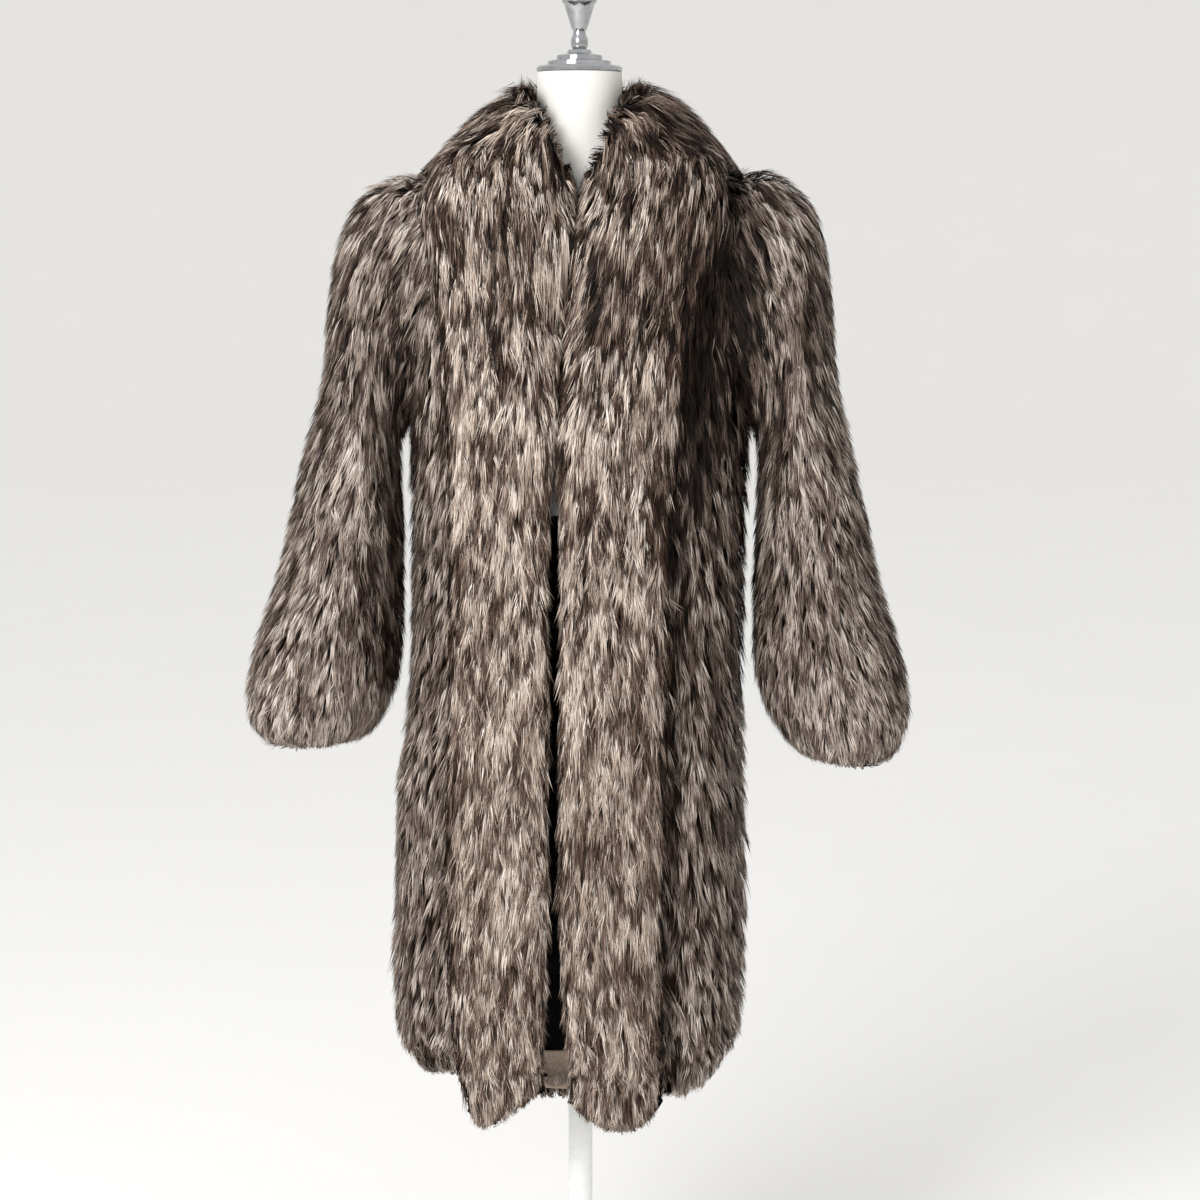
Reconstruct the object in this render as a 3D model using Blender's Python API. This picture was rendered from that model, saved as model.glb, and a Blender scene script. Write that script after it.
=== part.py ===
"""A long fur coat hanging open on a limbless dress form.

The coat is cut as a back, two fronts, two sleeves and a shawl collar that runs on
down each front edge as a wide tuxedo band. Its walls are pelts with their pile.
All of them are grids of points on one smooth body surface, read from the tables
below, so that neighbours share their points and keep a seam's gap.
Metres, +Z up, the wearer faces -Y, the origin is the middle of the foot's underside.
"""

import math

import bmesh
import bpy
import numpy as np

# ---------------------------------------------------------------- driving sizes
SEAM = 0.0003  # gap that neighbouring pieces keep
PELT = 0.024  # skin and pile of the body and sleeves
LINING = 0.0016
FACING = 0.0022
HEM_ROUND = 0.010  # how far a hem or cuff rounds out past its last row
EDGE_ROUND = 0.007  # the same at the front edges
COLLAR_ROUND = 0.009  # the same round the collar's rim
SHOULDER_ROUND = 0.0  # and where that rim crosses the sleeve's head
SHOULDER_STEPS = 4  # columns of the back that the sleeve's head reaches
EDGE_GAP = 0.0006  # half of the gap left where both front edges meet

NECK_RADIUS = 0.0455
NECK_CENTRE_Y = -0.004
NECK_TOP = 1.4710
FORM_BOTTOM = 1.000
POLE_RADIUS = 0.0135
FOOT_RADIUS = 0.190
FOOT_THICKNESS = 0.012
HUB_TOP = 0.042

# Body surface, hem to neckline. A row is named by its height at the side seams.
# front_z and back_z are its heights at the centre front and back, dip_reach is how
# far sideways the front's own height reaches, and power squares the oval's corners.
BODY_COLUMNS = (
    "level", "front_z", "back_z", "dip_reach", "half_width", "front", "back", "centre_x", "power",
)
BODY_ROWS = (
    (0.3800, 0.384, 0.302, 0.150, 0.1740, 0.116, 0.122, -0.011, 2.3),
    (0.4000, 0.404, 0.326, 0.150, 0.1890, 0.126, 0.133, -0.012, 2.3),
    (0.4200, 0.424, 0.352, 0.150, 0.1960, 0.131, 0.139, -0.012, 2.3),
    (0.5000, 0.503, 0.455, 0.150, 0.2000, 0.136, 0.145, -0.012, 2.3),
    (0.6200, 0.620, 0.600, 0.150, 0.1975, 0.134, 0.143, -0.009, 2.3),
    (0.7200, 0.720, 0.712, 0.150, 0.1950, 0.130, 0.138, -0.009, 2.3),
    (0.8000, 0.800, 0.798, 0.150, 0.1870, 0.127, 0.132, -0.004, 2.3),
    (0.9000, 0.900, 0.900, 0.150, 0.1860, 0.125, 0.127, -0.002, 2.3),
    (1.0000, 1.000, 1.000, 0.150, 0.1860, 0.125, 0.125, -0.001, 2.3),
    (1.1000, 1.100, 1.100, 0.150, 0.1890, 0.125, 0.128, 0.000, 2.3),
    (1.2000, 1.195, 1.200, 0.150, 0.1940, 0.120, 0.130, 0.000, 2.3),
    (1.2800, 1.262, 1.282, 0.140, 0.1970, 0.112, 0.126, 0.000, 2.3),
    (1.3300, 1.290, 1.336, 0.120, 0.1940, 0.107, 0.116, 0.000, 2.3),
    (1.3530, 1.303, 1.360, 0.100, 0.1800, 0.103, 0.107, 0.000, 2.3),
    (1.3720, 1.312, 1.378, 0.084, 0.1480, 0.098, 0.096, 0.000, 2.2),
    (1.3900, 1.320, 1.392, 0.068, 0.1080, 0.089, 0.083, 0.000, 2.1),
    (1.4030, 1.327, 1.402, 0.056, 0.0700, 0.080, 0.070, 0.000, 2.0),
)
DIP_SOFTNESS = 0.25  # rounds the bottom of the neckline's V
# Rows of points up the coat, as levels. The collar's lower edge is on COLLAR_ROW.
GRID_LEVELS = (
    0.380, 0.400, 0.420, 0.490, 0.600, 0.700, 0.800, 0.900, 1.000, 1.090, 1.160, 1.220,
    1.275, 1.320, 1.346, 1.364, 1.380, 1.392, 1.403,
)
COLLAR_ROW = 15
COLLAR_RISE = 1.2  # turns the collar's rise over the shoulders from square to their slope to upright
COLLAR_SEAM_TURN = 0.0006  # half of the gap at the collar's centre back seam, as a share of the half turn
COLLAR_BACK_DROP = (0.000, 0.000, 0.012, 0.030, 0.046, 0.040, 0.026, 0.012, 0.000)
DROP_FROM_ROW = 10  # the rows of the back from here on sag by COLLAR_BACK_DROP at its centre

# Where each front's edge and its band's outer edge run, as distances to the side.
FRONT_COLUMNS = ("level", "right_edge", "right_band", "left_edge", "left_band")
FRONT_ROWS = (
    (0.380, -0.046, -0.114, -0.004, 0.084),
    (0.450, -0.046, -0.128, -0.006, 0.082),
    (0.550, -0.041, -0.132, -0.015, 0.080),
    (0.700, -0.041, -0.132, -0.014, 0.084),
    (0.800, -0.040, -0.130, -0.013, 0.086),
    (0.950, -0.042, -0.128, -0.011, 0.087),
    (1.050, -0.035, -0.128, -0.014, 0.094),
    (1.120, -0.026, -0.130, -0.015, 0.101),
    (1.200, -0.020, -0.135, -0.011, 0.112),
    (1.280, -0.015, -0.146, -0.007, 0.130),
    (1.330, -0.010, -0.155, -0.003, 0.146),
    (1.353, -0.007, -0.154, 0.000, 0.150),
    (1.364, -0.006, -0.148, 0.001, 0.147),
    (1.380, -0.005, -0.122, 0.002, 0.122),
    (1.403, -0.004, -0.062, 0.004, 0.062),
)
BAND_SHARES = (0.0, 0.16, 0.40, 0.66, 0.88, 1.0)  # columns from the front edge to the band's
SIDE_SHARES = (0.10, 0.28, 0.60, 1.0)  # and from there to the side seam
BACK_STEPS = 16

# Soft vertical folds of the body: where they run, how wide and deep, and from where to where.
FOLD_COLUMNS = ("angle", "width", "depth", "low", "high")
FOLDS = (
    (-52, 7, 0.010, 0.38, 1.10),
    (-74, 9, -0.005, 0.38, 0.95),
    (33, 6, 0.012, 0.38, 1.16),
    (58, 8, 0.006, 0.38, 0.95),
    (108, 9, 0.006, 0.38, 0.98),
    (133, 11, 0.008, 0.38, 1.14),
    (158, 12, -0.006, 0.38, 1.08),
    (181, 10, 0.007, 0.38, 1.18),
    (207, 12, -0.005, 0.38, 1.04),
    (231, 10, 0.008, 0.38, 1.10),
    (254, 9, 0.005, 0.38, 0.94),
)

# Height of the tuxedo band over the front under it, across its width.
BAND_COLUMNS = ("level", "edge", "middle", "outer")
BAND_ROWS = (
    (0.380, 0.013, 0.018, 0.013),
    (0.500, 0.015, 0.021, 0.015),
    (1.000, 0.015, 0.021, 0.016),
    (1.200, 0.017, 0.024, 0.018),
    (1.300, 0.020, 0.028, 0.019),
    (1.364, 0.024, 0.034, 0.012),
)
# Height of the collar's rows over the panels, from its outer edge up to the neck. The
# collar stands up more than it leans out, and turns over towards the neck by lean.
COLLAR_COLUMNS = ("level", "throat", "left_shoulder", "right_shoulder", "nape", "lean")
COLLAR_ROWS = (
    (1.364, 0.022, 0.006, 0.004, 0.020, 0.000),
    (1.380, 0.032, 0.034, 0.024, 0.036, 0.002),
    (1.392, 0.040, 0.052, 0.042, 0.048, 0.006),
    (1.403, 0.044, 0.060, 0.056, 0.056, 0.014),
)
# How far each front's hem hangs lower, from its edge out to the side seam.
HEM_DROP_RIGHT = (0.000, 0.008, 0.020, 0.030, 0.034, 0.026, 0.004, 0.000, 0.000, 0.000)
HEM_DROP_LEFT = (0.014, 0.028, 0.036, 0.034, 0.028, 0.022, 0.020, 0.018, 0.010, 0.000)
HEM_DROP_SHARES = (1.0, 0.6, 0.3)  # of it on the lowest rows

# Sleeves, from inside the armhole to the cuff: the outer and inner side of each
# section, its half depth from front to back, and how far its middle lies forward.
SLEEVE_COLUMNS = ("out_x", "out_z", "in_x", "in_z", "half_depth", "centre_y")
SLEEVE_RIGHT = (
    (0.110, 1.340, 0.098, 1.150, 0.074, 0.004),
    (0.150, 1.348, 0.128, 1.130, 0.078, 0.004),
    (0.186, 1.364, 0.158, 1.110, 0.080, 0.003),
    (0.216, 1.357, 0.180, 1.092, 0.081, 0.002),
    (0.240, 1.338, 0.192, 1.075, 0.081, 0.001),
    (0.257, 1.306, 0.194, 1.056, 0.081, 0.000),
    (0.269, 1.258, 0.193, 1.034, 0.080, -0.001),
    (0.276, 1.200, 0.192, 1.008, 0.079, -0.003),
    (0.281, 1.140, 0.191, 0.978, 0.078, -0.005),
    (0.301, 1.070, 0.1905, 0.944, 0.078, -0.008),
    (0.317, 1.000, 0.1905, 0.908, 0.078, -0.011),
    (0.333, 0.930, 0.1910, 0.872, 0.079, -0.014),
    (0.354, 0.868, 0.1930, 0.838, 0.080, -0.017),
    (0.367, 0.812, 0.200, 0.806, 0.080, -0.019),
    (0.366, 0.778, 0.210, 0.780, 0.077, -0.020),
    (0.356, 0.756, 0.226, 0.758, 0.070, -0.020),
)
SLEEVE_LEFT = (
    (0.110, 1.340, 0.098, 1.150, 0.074, 0.004),
    (0.150, 1.348, 0.128, 1.130, 0.078, 0.004),
    (0.186, 1.370, 0.158, 1.110, 0.080, 0.003),
    (0.216, 1.365, 0.180, 1.092, 0.081, 0.002),
    (0.240, 1.348, 0.191, 1.075, 0.081, 0.001),
    (0.259, 1.320, 0.193, 1.056, 0.081, 0.000),
    (0.270, 1.270, 0.192, 1.034, 0.080, -0.001),
    (0.276, 1.208, 0.1910, 1.008, 0.079, -0.003),
    (0.282, 1.140, 0.1900, 0.978, 0.078, -0.005),
    (0.300, 1.062, 0.1885, 0.944, 0.078, -0.008),
    (0.315, 0.990, 0.1875, 0.906, 0.078, -0.011),
    (0.331, 0.920, 0.1870, 0.868, 0.079, -0.014),
    (0.351, 0.858, 0.1885, 0.830, 0.080, -0.017),
    (0.363, 0.800, 0.198, 0.792, 0.080, -0.019),
    (0.361, 0.762, 0.214, 0.762, 0.077, -0.020),
    (0.348, 0.735, 0.234, 0.738, 0.070, -0.020),
)
SLEEVE_STEPS = 20

# The form inside the coat: its rounded foot as shares of its lowest ring, then how far
# it stays inside the coat's hollow, row by row. The coat hangs on its shoulders.
FORM_START_ROW = 8
FORM_FOOT = ((0.78, 1.000), (0.90, 1.008), (0.97, 1.022))
FORM_INSETS = (0.017, 0.021, 0.015, 0.010, 0.007, 0.004, 0.0027, 0.0011, 0.0007, 0.0018, 0.0040)
# From the form's neckline in to the round neck, and up to the neck's foot.
NECK_COLUMNS = ("inwards", "upwards")
NECK_ROWS = ((0.30, 0.06), (0.62, 0.28), (0.88, 0.62), (1.00, 1.00))
NECK_FOOT = 1.425

# Turned profiles, from the axis outwards and back to it: radius and height.
CAP_PROFILE = (
    (0.0, 1.4713), (0.0445, 1.4713), (0.0462, 1.4726), (0.0462, 1.4760), (0.0440, 1.4780),
    (0.0345, 1.4790), (0.0335, 1.4830), (0.0250, 1.4846), (0.0240, 1.4890), (0.0135, 1.4915),
    (0.0120, 1.4950), (0.0, 1.4950),
)
FINIAL_PROFILE = (
    (0.0, 1.4953), (0.0070, 1.4953), (0.0090, 1.4985), (0.0094, 1.5025), (0.0088, 1.5070),
    (0.0070, 1.5105), (0.0066, 1.5145), (0.0086, 1.5180), (0.0104, 1.5240), (0.0140, 1.5350),
    (0.0162, 1.5430), (0.0186, 1.5450), (0.0186, 1.5480), (0.0160, 1.5510), (0.0120, 1.5580),
    (0.0070, 1.5640), (0.0080, 1.5680), (0.0080, 1.5720), (0.0052, 1.5760), (0.0, 1.5775),
)
FOOT_PROFILE = (
    (0.0, 0.0), (FOOT_RADIUS - 0.004, 0.0), (FOOT_RADIUS, 0.003), (FOOT_RADIUS, 0.008),
    (FOOT_RADIUS - 0.005, FOOT_THICKNESS), (0.034, 0.016), (0.024, 0.022), (0.022, HUB_TOP),
    (0.0, HUB_TOP),
)


# ---------------------------------------------------------------- reading the tables
def column(rows, columns, name):
    """One named column of a table, as an array."""
    return np.array([row[columns.index(name)] for row in rows], float)


def smooth(at, known_at, known):
    """Values at places between the known ones, on a curve with no overshoot."""
    step = np.diff(known_at)
    slope = np.diff(known) / step
    turn = slope[:-1] * slope[1:] > 0
    mean = np.where(turn, 2 * slope[:-1] * slope[1:] / np.where(turn, slope[:-1] + slope[1:], 1), 0)
    tangent = np.concatenate([slope[:1], mean, slope[-1:]])
    at = np.clip(at, known_at[0], known_at[-1])
    i = np.clip(np.searchsorted(known_at, at, side="right") - 1, 0, len(step) - 1)
    t = (at - known_at[i]) / step[i]
    rise = (3 - 2 * t) * t * t
    first = t * (1 - t) ** 2 * tangent[i]
    last = t * t * (1 - t) * tangent[i + 1]
    return known[i] + (known[i + 1] - known[i]) * rise + step[i] * (first - last)


def read(rows, columns, name, at):
    """A named column of a table, at any levels."""
    return smooth(at, column(rows, columns, columns[0]), column(rows, columns, name))


# ---------------------------------------------------------------- the body surface
def fold_depth(angle, level):
    """How far the body's folds press in, as bell curves round it that fade out upwards."""
    degrees = np.degrees(angle)
    depth = np.zeros(np.broadcast(angle, level).shape)
    for middle, width, deepest, low, high in FOLDS:
        away = (degrees - middle + 180) % 360 - 180
        fade = np.clip((high - level) / (0.45 * (high - low)), 0, 1)
        depth = depth + deepest * np.exp(-((away / width) ** 2)) * fade * (3 - 2 * fade) * fade
    return depth


def body_point(angle, level):
    """A point of the coat's outer face with no folds. Angle 0 is the centre front, +90 degrees the wearer's left."""
    half_width, front, back, centre, power, reach = (
        read(BODY_ROWS, BODY_COLUMNS, name, level)
        for name in ("half_width", "front", "back", "centre_x", "power", "dip_reach")
    )
    front_z = read(BODY_ROWS, BODY_COLUMNS, "front_z", level)
    back_z = read(BODY_ROWS, BODY_COLUMNS, "back_z", level)
    side, ahead = np.sin(angle), np.cos(angle)
    x = half_width * np.sign(side) * np.abs(side) ** (2 / power)
    y = -np.where(ahead > 0, front, back) * np.sign(ahead) * np.abs(ahead) ** (2 / power)
    away = (np.hypot(x / reach, DIP_SOFTNESS) - DIP_SOFTNESS) / (math.hypot(1, DIP_SOFTNESS) - DIP_SOFTNESS)
    near = np.clip(1 - away, 0, 1) ** 1.3 * (ahead > 0)
    behind = np.clip(-ahead, 0, 1) ** 1.2
    z = level + (front_z - level) * near + (back_z - level) * behind
    return np.stack(np.broadcast_arrays(x + centre, y, z), -1)


def body_normal(angle, level):
    """The outward direction of that face."""
    turn, climb = 1e-3, 1e-3
    around = body_point(angle + turn, level) - body_point(angle - turn, level)
    low = np.clip(level - climb, BODY_ROWS[0][0], None)
    high = np.clip(level + climb, None, BODY_ROWS[-1][0])
    normal = np.cross(around, body_point(angle, high) - body_point(angle, low))
    return normal / np.linalg.norm(normal, axis=-1, keepdims=True)


def outer_face(angle, level):
    """The outer face of the panels, with their folds."""
    return body_point(angle, level) - body_normal(angle, level) * fold_depth(angle, level)[..., None]


def inner_face(angle, level, inset=PELT):
    """The face of the coat's hollow, or one that lies further in."""
    return body_point(angle, level) - body_normal(angle, level) * inset


def angle_at(x, level):
    """The angle at which the front reaches this distance to the side."""
    half_width = read(BODY_ROWS, BODY_COLUMNS, "half_width", level)
    away = x - read(BODY_ROWS, BODY_COLUMNS, "centre_x", level)
    power = read(BODY_ROWS, BODY_COLUMNS, "power", level)
    return np.sign(away) * np.arcsin(np.clip(np.abs(away) / half_width, 0, 1) ** (power / 2))


# ---------------------------------------------------------------- grids of points
def front_grid(side):
    """Angles and levels of one front's points: rows up the coat, columns from its edge to the side seam."""
    sign, name = (1, "left") if side == "left" else (-1, "right")
    level = np.array(GRID_LEVELS)
    edge = angle_at(read(FRONT_ROWS, FRONT_COLUMNS, f"{name}_edge", level), level)
    band = angle_at(read(FRONT_ROWS, FRONT_COLUMNS, f"{name}_band", level), level)
    half_width = read(BODY_ROWS, BODY_COLUMNS, "half_width", level)
    seam = sign * (math.pi / 2 - SEAM / 2 / half_width)
    inside = edge[:, None] + (band - edge)[:, None] * np.array(BAND_SHARES)
    outside = band[:, None] + (seam - band)[:, None] * np.array(SIDE_SHARES)
    angle = np.concatenate([inside, outside], 1)
    return angle, np.broadcast_to(level[:, None], angle.shape)


def back_grid():
    """Angles and levels of the back's points, from the left side seam round to the right one."""
    level = np.array(GRID_LEVELS)
    half_width = read(BODY_ROWS, BODY_COLUMNS, "half_width", level)
    start = math.pi / 2 + SEAM / 2 / half_width
    share = np.linspace(0, 1, BACK_STEPS + 1)
    angle = start[:, None] + (2 * math.pi - 2 * start)[:, None] * share
    drop = np.zeros(len(level))
    drop[DROP_FROM_ROW:] = COLLAR_BACK_DROP
    return angle, level[:, None] - drop[:, None] * np.clip(-np.cos(angle), 0, 1)


def ring_grid():
    """Angles and levels of closed rings through the columns of both fronts and the back."""
    left, level = front_grid("left")
    right, _ = front_grid("right")
    back, back_level = back_grid()
    angle = np.concatenate([left, back[:, 1:-1], right[:, ::-1] + 2 * math.pi], 1)
    return angle, np.concatenate([level, back_level[:, 1:-1], level], 1)


def grid_cells(rows, columns, wanted=None, closed=False):
    """The four-cornered cells of a grid whose points are numbered row by row, anticlockwise seen from outside."""
    across = columns if closed else columns - 1
    cells = []
    for i in range(rows - 1):
        for j in range(across):
            if wanted is None or wanted(i, j):
                k = (j + 1) % columns
                corners = (i * columns + j, i * columns + k, (i + 1) * columns + k, (i + 1) * columns + j)
                cells.append(corners)
    return cells


# ---------------------------------------------------------------- making solids
def finish(name, vertices, faces, material):
    """A named object from points and triangles, shaded smooth apart from its sharp edges."""
    mesh = bpy.data.meshes.new(name)
    mesh.from_pydata([tuple(map(float, v)) for v in vertices], [], faces)
    mesh.validate()
    mesh.shade_smooth()
    mesh.set_sharp_from_angle(angle=math.radians(50))
    mesh.materials.append(material)
    obj = bpy.data.objects.new(name, mesh)
    bpy.context.scene.collection.objects.link(obj)
    return obj


def split(cells):
    """Two triangles for each cell, always along the same diagonal, so that faces laid on each other match."""
    return [t for a, b, c, d in cells for t in ((a, b, c), (a, c, d))]


def wall(name, low, high, cells, rounding, material):
    """A closed wall between two faces that share their cells. Its rim bulges out by rounding, a length for each point."""
    low, high = low.reshape(-1, 3), high.reshape(-1, 3)
    used = sorted({corner for cell in cells for corner in cell})
    place = {corner: k for k, corner in enumerate(used)}
    low, high, rounding = low[used], high[used], np.broadcast_to(rounding, (len(low),))[used]
    cells = [tuple(place[corner] for corner in cell) for cell in cells]
    edges = {(c[k], c[(k + 1) % 4]) for c in cells for k in range(4)}
    rim = sorted(e for e in edges if (e[1], e[0]) not in edges)
    outward = np.zeros_like(low)
    for a, b in rim:
        push = np.cross(high[b] - high[a] + low[b] - low[a], high[a] - low[a] + high[b] - low[b])
        push /= np.linalg.norm(push)
        outward[a] += push
        outward[b] += push
    corners = sorted({p for edge in rim for p in edge})
    outward[corners] /= np.linalg.norm(outward[corners], axis=1, keepdims=True)
    middle = (low + high) / 2 + outward * rounding[:, None]
    count = len(used)
    mid_place = {p: 2 * count + k for k, p in enumerate(corners)}
    faces = split(cells)
    solid = [tuple(p + count for p in f) for f in faces] + [f[::-1] for f in faces]
    for a, b in rim:
        solid += split([(a, b, mid_place[b], mid_place[a])])
        solid += split([(mid_place[a], mid_place[b], b + count, a + count)])
    return finish(name, np.concatenate([low, high, middle[corners]]), solid, material)


def filled(name, rings, material):
    """A closed solid through rings of points, with both ends closed by a fan to their middle."""
    rows, steps = rings.shape[:2]
    faces = split(grid_cells(rows, steps, closed=True))
    points = np.concatenate([rings.reshape(-1, 3), rings[:1].mean(1), rings[-1:].mean(1)])
    first, last = rows * steps, rows * steps + 1
    for j in range(steps):
        k = (j + 1) % steps
        faces.append((k, j, first))
        faces.append(((rows - 1) * steps + j, (rows - 1) * steps + k, last))
    return finish(name, points, faces, material)


def turned(name, profile, steps, material):
    """A solid of revolution about Z, spun from its profile of radii and heights."""
    shape = bmesh.new()
    points = [shape.verts.new((radius, 0, height)) for radius, height in profile]
    edges = [shape.edges.new(pair) for pair in zip(points, points[1:])]
    bmesh.ops.spin(
        shape, geom=points + edges, axis=(0, 0, 1), cent=(0, 0, 0), angle=2 * math.pi, steps=steps, use_merge=True
    )
    bmesh.ops.remove_doubles(shape, verts=shape.verts, dist=1e-6)
    bmesh.ops.recalc_face_normals(shape, faces=shape.faces)
    mesh = bpy.data.meshes.new(name)
    shape.to_mesh(mesh)
    shape.free()
    mesh.shade_smooth()
    mesh.set_sharp_from_angle(angle=math.radians(35))
    mesh.materials.append(material)
    obj = bpy.data.objects.new(name, mesh)
    bpy.context.scene.collection.objects.link(obj)
    return obj


def cut(obj, cutter):
    """Takes the cutter's volume out of the object. The cutter is only a guide."""
    cutter.hide_render = True
    cutter.display_type = "WIRE"
    modifier = obj.modifiers.new(f"cut by {cutter.name}", "BOOLEAN")
    modifier.operation = "DIFFERENCE"
    modifier.solver = "EXACT"
    modifier.object = cutter


def finish_of(name, colour, roughness, metallic=0.0):
    """A material with one Principled BSDF."""
    material = bpy.data.materials.new(name)
    material.use_nodes = True
    shader = material.node_tree.nodes["Principled BSDF"]
    shader.inputs["Base Color"].default_value = (*colour, 1)
    shader.inputs["Roughness"].default_value = roughness
    shader.inputs["Metallic"].default_value = metallic
    return material


# ---------------------------------------------------------------- the coat
def edge_rounding(most):
    """How far a front edge may round out at each row, so that the two sides stay apart."""
    level = np.array(GRID_LEVELS)
    left, right = (read(FRONT_ROWS, FRONT_COLUMNS, name, level) for name in ("left_edge", "right_edge"))
    return np.minimum(most, (left - right) / 2 - EDGE_GAP)


def panel_rounding(shape, edge_column):
    """Round hems and, on a front, a round front edge. Side seams and the neckline stay flat."""
    rounding = np.zeros(shape)
    rounding[0] = HEM_ROUND
    rounding[:, 0] = edge_rounding(EDGE_ROUND) if edge_column else 0
    rounding[0, -1] = 0
    rounding[-1] = 0
    return rounding.reshape(-1)


def oriented(cells, side):
    """Cells of a front, turned over on the right, where the columns run the other way round."""
    return cells if side == "left" else [cell[::-1] for cell in cells]


def make_front(side, material):
    """One front panel, from its edge at the opening to its side seam."""
    angle, level = front_grid(side)
    cells = oriented(grid_cells(*angle.shape), side)
    rounding = panel_rounding(angle.shape, True)
    inner, outer = (hem_drop(face(angle, level), side) for face in (inner_face, outer_face))
    return wall(f"front_{side}", inner, outer, cells, rounding, material)


def make_back(material):
    """The back panel, between the side seams."""
    angle, level = back_grid()
    rounding = panel_rounding(angle.shape, False)
    cells = grid_cells(*angle.shape)
    return wall("back", inner_face(angle, level), outer_face(angle, level), cells, rounding, material)


def hem_drop(face, side):
    """A front's face or its band's, with the hem let down."""
    drop = np.array(HEM_DROP_LEFT if side == "left" else HEM_DROP_RIGHT)
    count = min(face.shape[1], len(drop))
    for row, share in enumerate(HEM_DROP_SHARES):
        face[row, :count, 2] -= share * drop[:count]
    return face


def band_height(level, share):
    """Height of the tuxedo band over the front, from its inner edge, share 0, to the outer one."""
    edge, middle, outer = (read(BAND_ROWS, BAND_COLUMNS, name, level) for name in ("edge", "middle", "outer"))
    height = edge * (1 - share) + outer * share
    return height + (middle - height) * np.clip(4 * share * (1 - share), 0, 1) ** 0.6


def collar_height(angle, level, row_level, side):
    """Height of the collar's rows over the panels, blended round the neck, and how far they lean over."""
    throat, shoulder, nape, lean = (
        read(COLLAR_ROWS, COLLAR_COLUMNS, name, row_level) for name in ("throat", f"{side}_shoulder", "nape", "lean")
    )
    across = np.abs(np.sin(angle)) ** 3
    return shoulder * across + np.where(np.cos(angle) > 0, throat, nape) * (1 - across), lean


def collar_patch(side):
    """The panels' points under one half of the collar, those points moved up to its top, and their cells."""
    angle, level = front_grid(side)
    back_angle, back_level = back_grid()
    half = BACK_STEPS // 2 + 1
    if side == "right":
        back_angle, back_level = back_angle[:, ::-1] - 2 * math.pi, back_level[:, ::-1]
    back_angle, back_level = back_angle[:, :half].copy(), back_level[:, :half]
    back_angle[:, -1] *= 1 - COLLAR_SEAM_TURN
    # The back's first column stands for both sides of the side seam.
    angle = np.concatenate([angle[:, :-1], back_angle], 1)
    level = np.concatenate([level[:, :-1], back_level], 1)
    rows, columns = angle.shape
    band = len(BAND_SHARES) - 1
    base, normal = outer_face(angle, level), body_normal(angle, level)
    sign = 1 if side == "left" else -1
    lift = normal.copy()
    lift[..., 0] = sign * np.maximum(sign * lift[..., 0], 0)  # never across the opening
    share = np.clip(np.concatenate([BAND_SHARES, np.ones(columns - band - 1)]), 0, 1)[None, :]
    row_level = np.broadcast_to(np.array(GRID_LEVELS)[:, None], angle.shape)
    height = band_height(row_level, share)
    upper, lean = collar_height(angle, level, row_level, side)
    on_collar = np.arange(rows)[:, None] >= COLLAR_ROW
    blend = np.clip((np.arange(rows)[:, None] - COLLAR_ROW) / 2, 0, 1) * on_collar
    blend = np.where(np.arange(columns)[None, :] > band, on_collar, blend)
    height = height * (1 - blend) + upper * blend
    lift[..., 2] += COLLAR_RISE * blend * np.clip(np.abs(np.sin(angle)) * 1.4, 0, 1)
    lift /= np.linalg.norm(lift, axis=-1, keepdims=True)
    inward = np.stack([-base[..., 0], NECK_CENTRE_Y - base[..., 1], 0 * height], -1)
    inward /= np.linalg.norm(inward, axis=-1, keepdims=True)
    low = hem_drop(base + normal * SEAM, side)
    high = low + lift * height[..., None] + inward * (lean * blend)[..., None]
    cells = grid_cells(rows, columns, lambda i, j: j < band or i >= COLLAR_ROW)
    return low, high, oriented(cells, side)


def make_collar(side, material):
    """Half the shawl collar, from the centre back round the neck and down the front as the tuxedo band."""
    low, high, cells = collar_patch(side)
    rounding = np.full(low.shape[:2], COLLAR_ROUND)
    shoulder = slice(len(BAND_SHARES), len(BAND_SHARES) + len(SIDE_SHARES) + SHOULDER_STEPS)
    rounding[COLLAR_ROW, shoulder] = SHOULDER_ROUND
    rounding[:, 0] = edge_rounding(COLLAR_ROUND)
    rounding[:, -1] = 0
    return wall(f"collar_{side}", low, high, cells, rounding.reshape(-1), material)


def sleeve_rings(side, grow):
    """Rings of points down one sleeve, grown outwards or, if grow is negative, inwards."""
    rows = SLEEVE_LEFT if side == "left" else SLEEVE_RIGHT
    sign = 1 if side == "left" else -1
    get = {name: column(rows, SLEEVE_COLUMNS, name)[:, None] for name in SLEEVE_COLUMNS}
    turn = np.linspace(0, 2 * math.pi, SLEEVE_STEPS, endpoint=False)
    middle_x, middle_z = (get["out_x"] + get["in_x"]) / 2, (get["out_z"] + get["in_z"]) / 2
    half_x, half_z = (get["out_x"] - get["in_x"]) / 2, (get["out_z"] - get["in_z"]) / 2
    half = np.hypot(half_x, half_z)
    reach = 1 + grow / half
    x = middle_x + half_x * reach * np.cos(turn)
    y = get["centre_y"] + (get["half_depth"] + grow) * np.sin(turn) * sign
    z = middle_z + half_z * reach * np.cos(turn)
    return np.stack([sign * x, y + 0 * x, z], -1)


def make_sleeve(side, material):
    """One sleeve as an open tube, and the filled form of it that cuts its armhole."""
    outer, inner = sleeve_rings(side, 0.0), sleeve_rings(side, -PELT)
    rings = outer[::-1], inner[::-1]
    rounding = np.zeros(outer.shape[:2])
    rounding[0] = HEM_ROUND
    cells = grid_cells(*outer.shape[:2], closed=True)
    sleeve = wall(f"sleeve_{side}", rings[1], rings[0], cells, rounding.reshape(-1), material)
    cutter = filled(f"armhole_{side}", sleeve_rings(side, SEAM)[::-1], material)
    return sleeve, cutter


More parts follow.
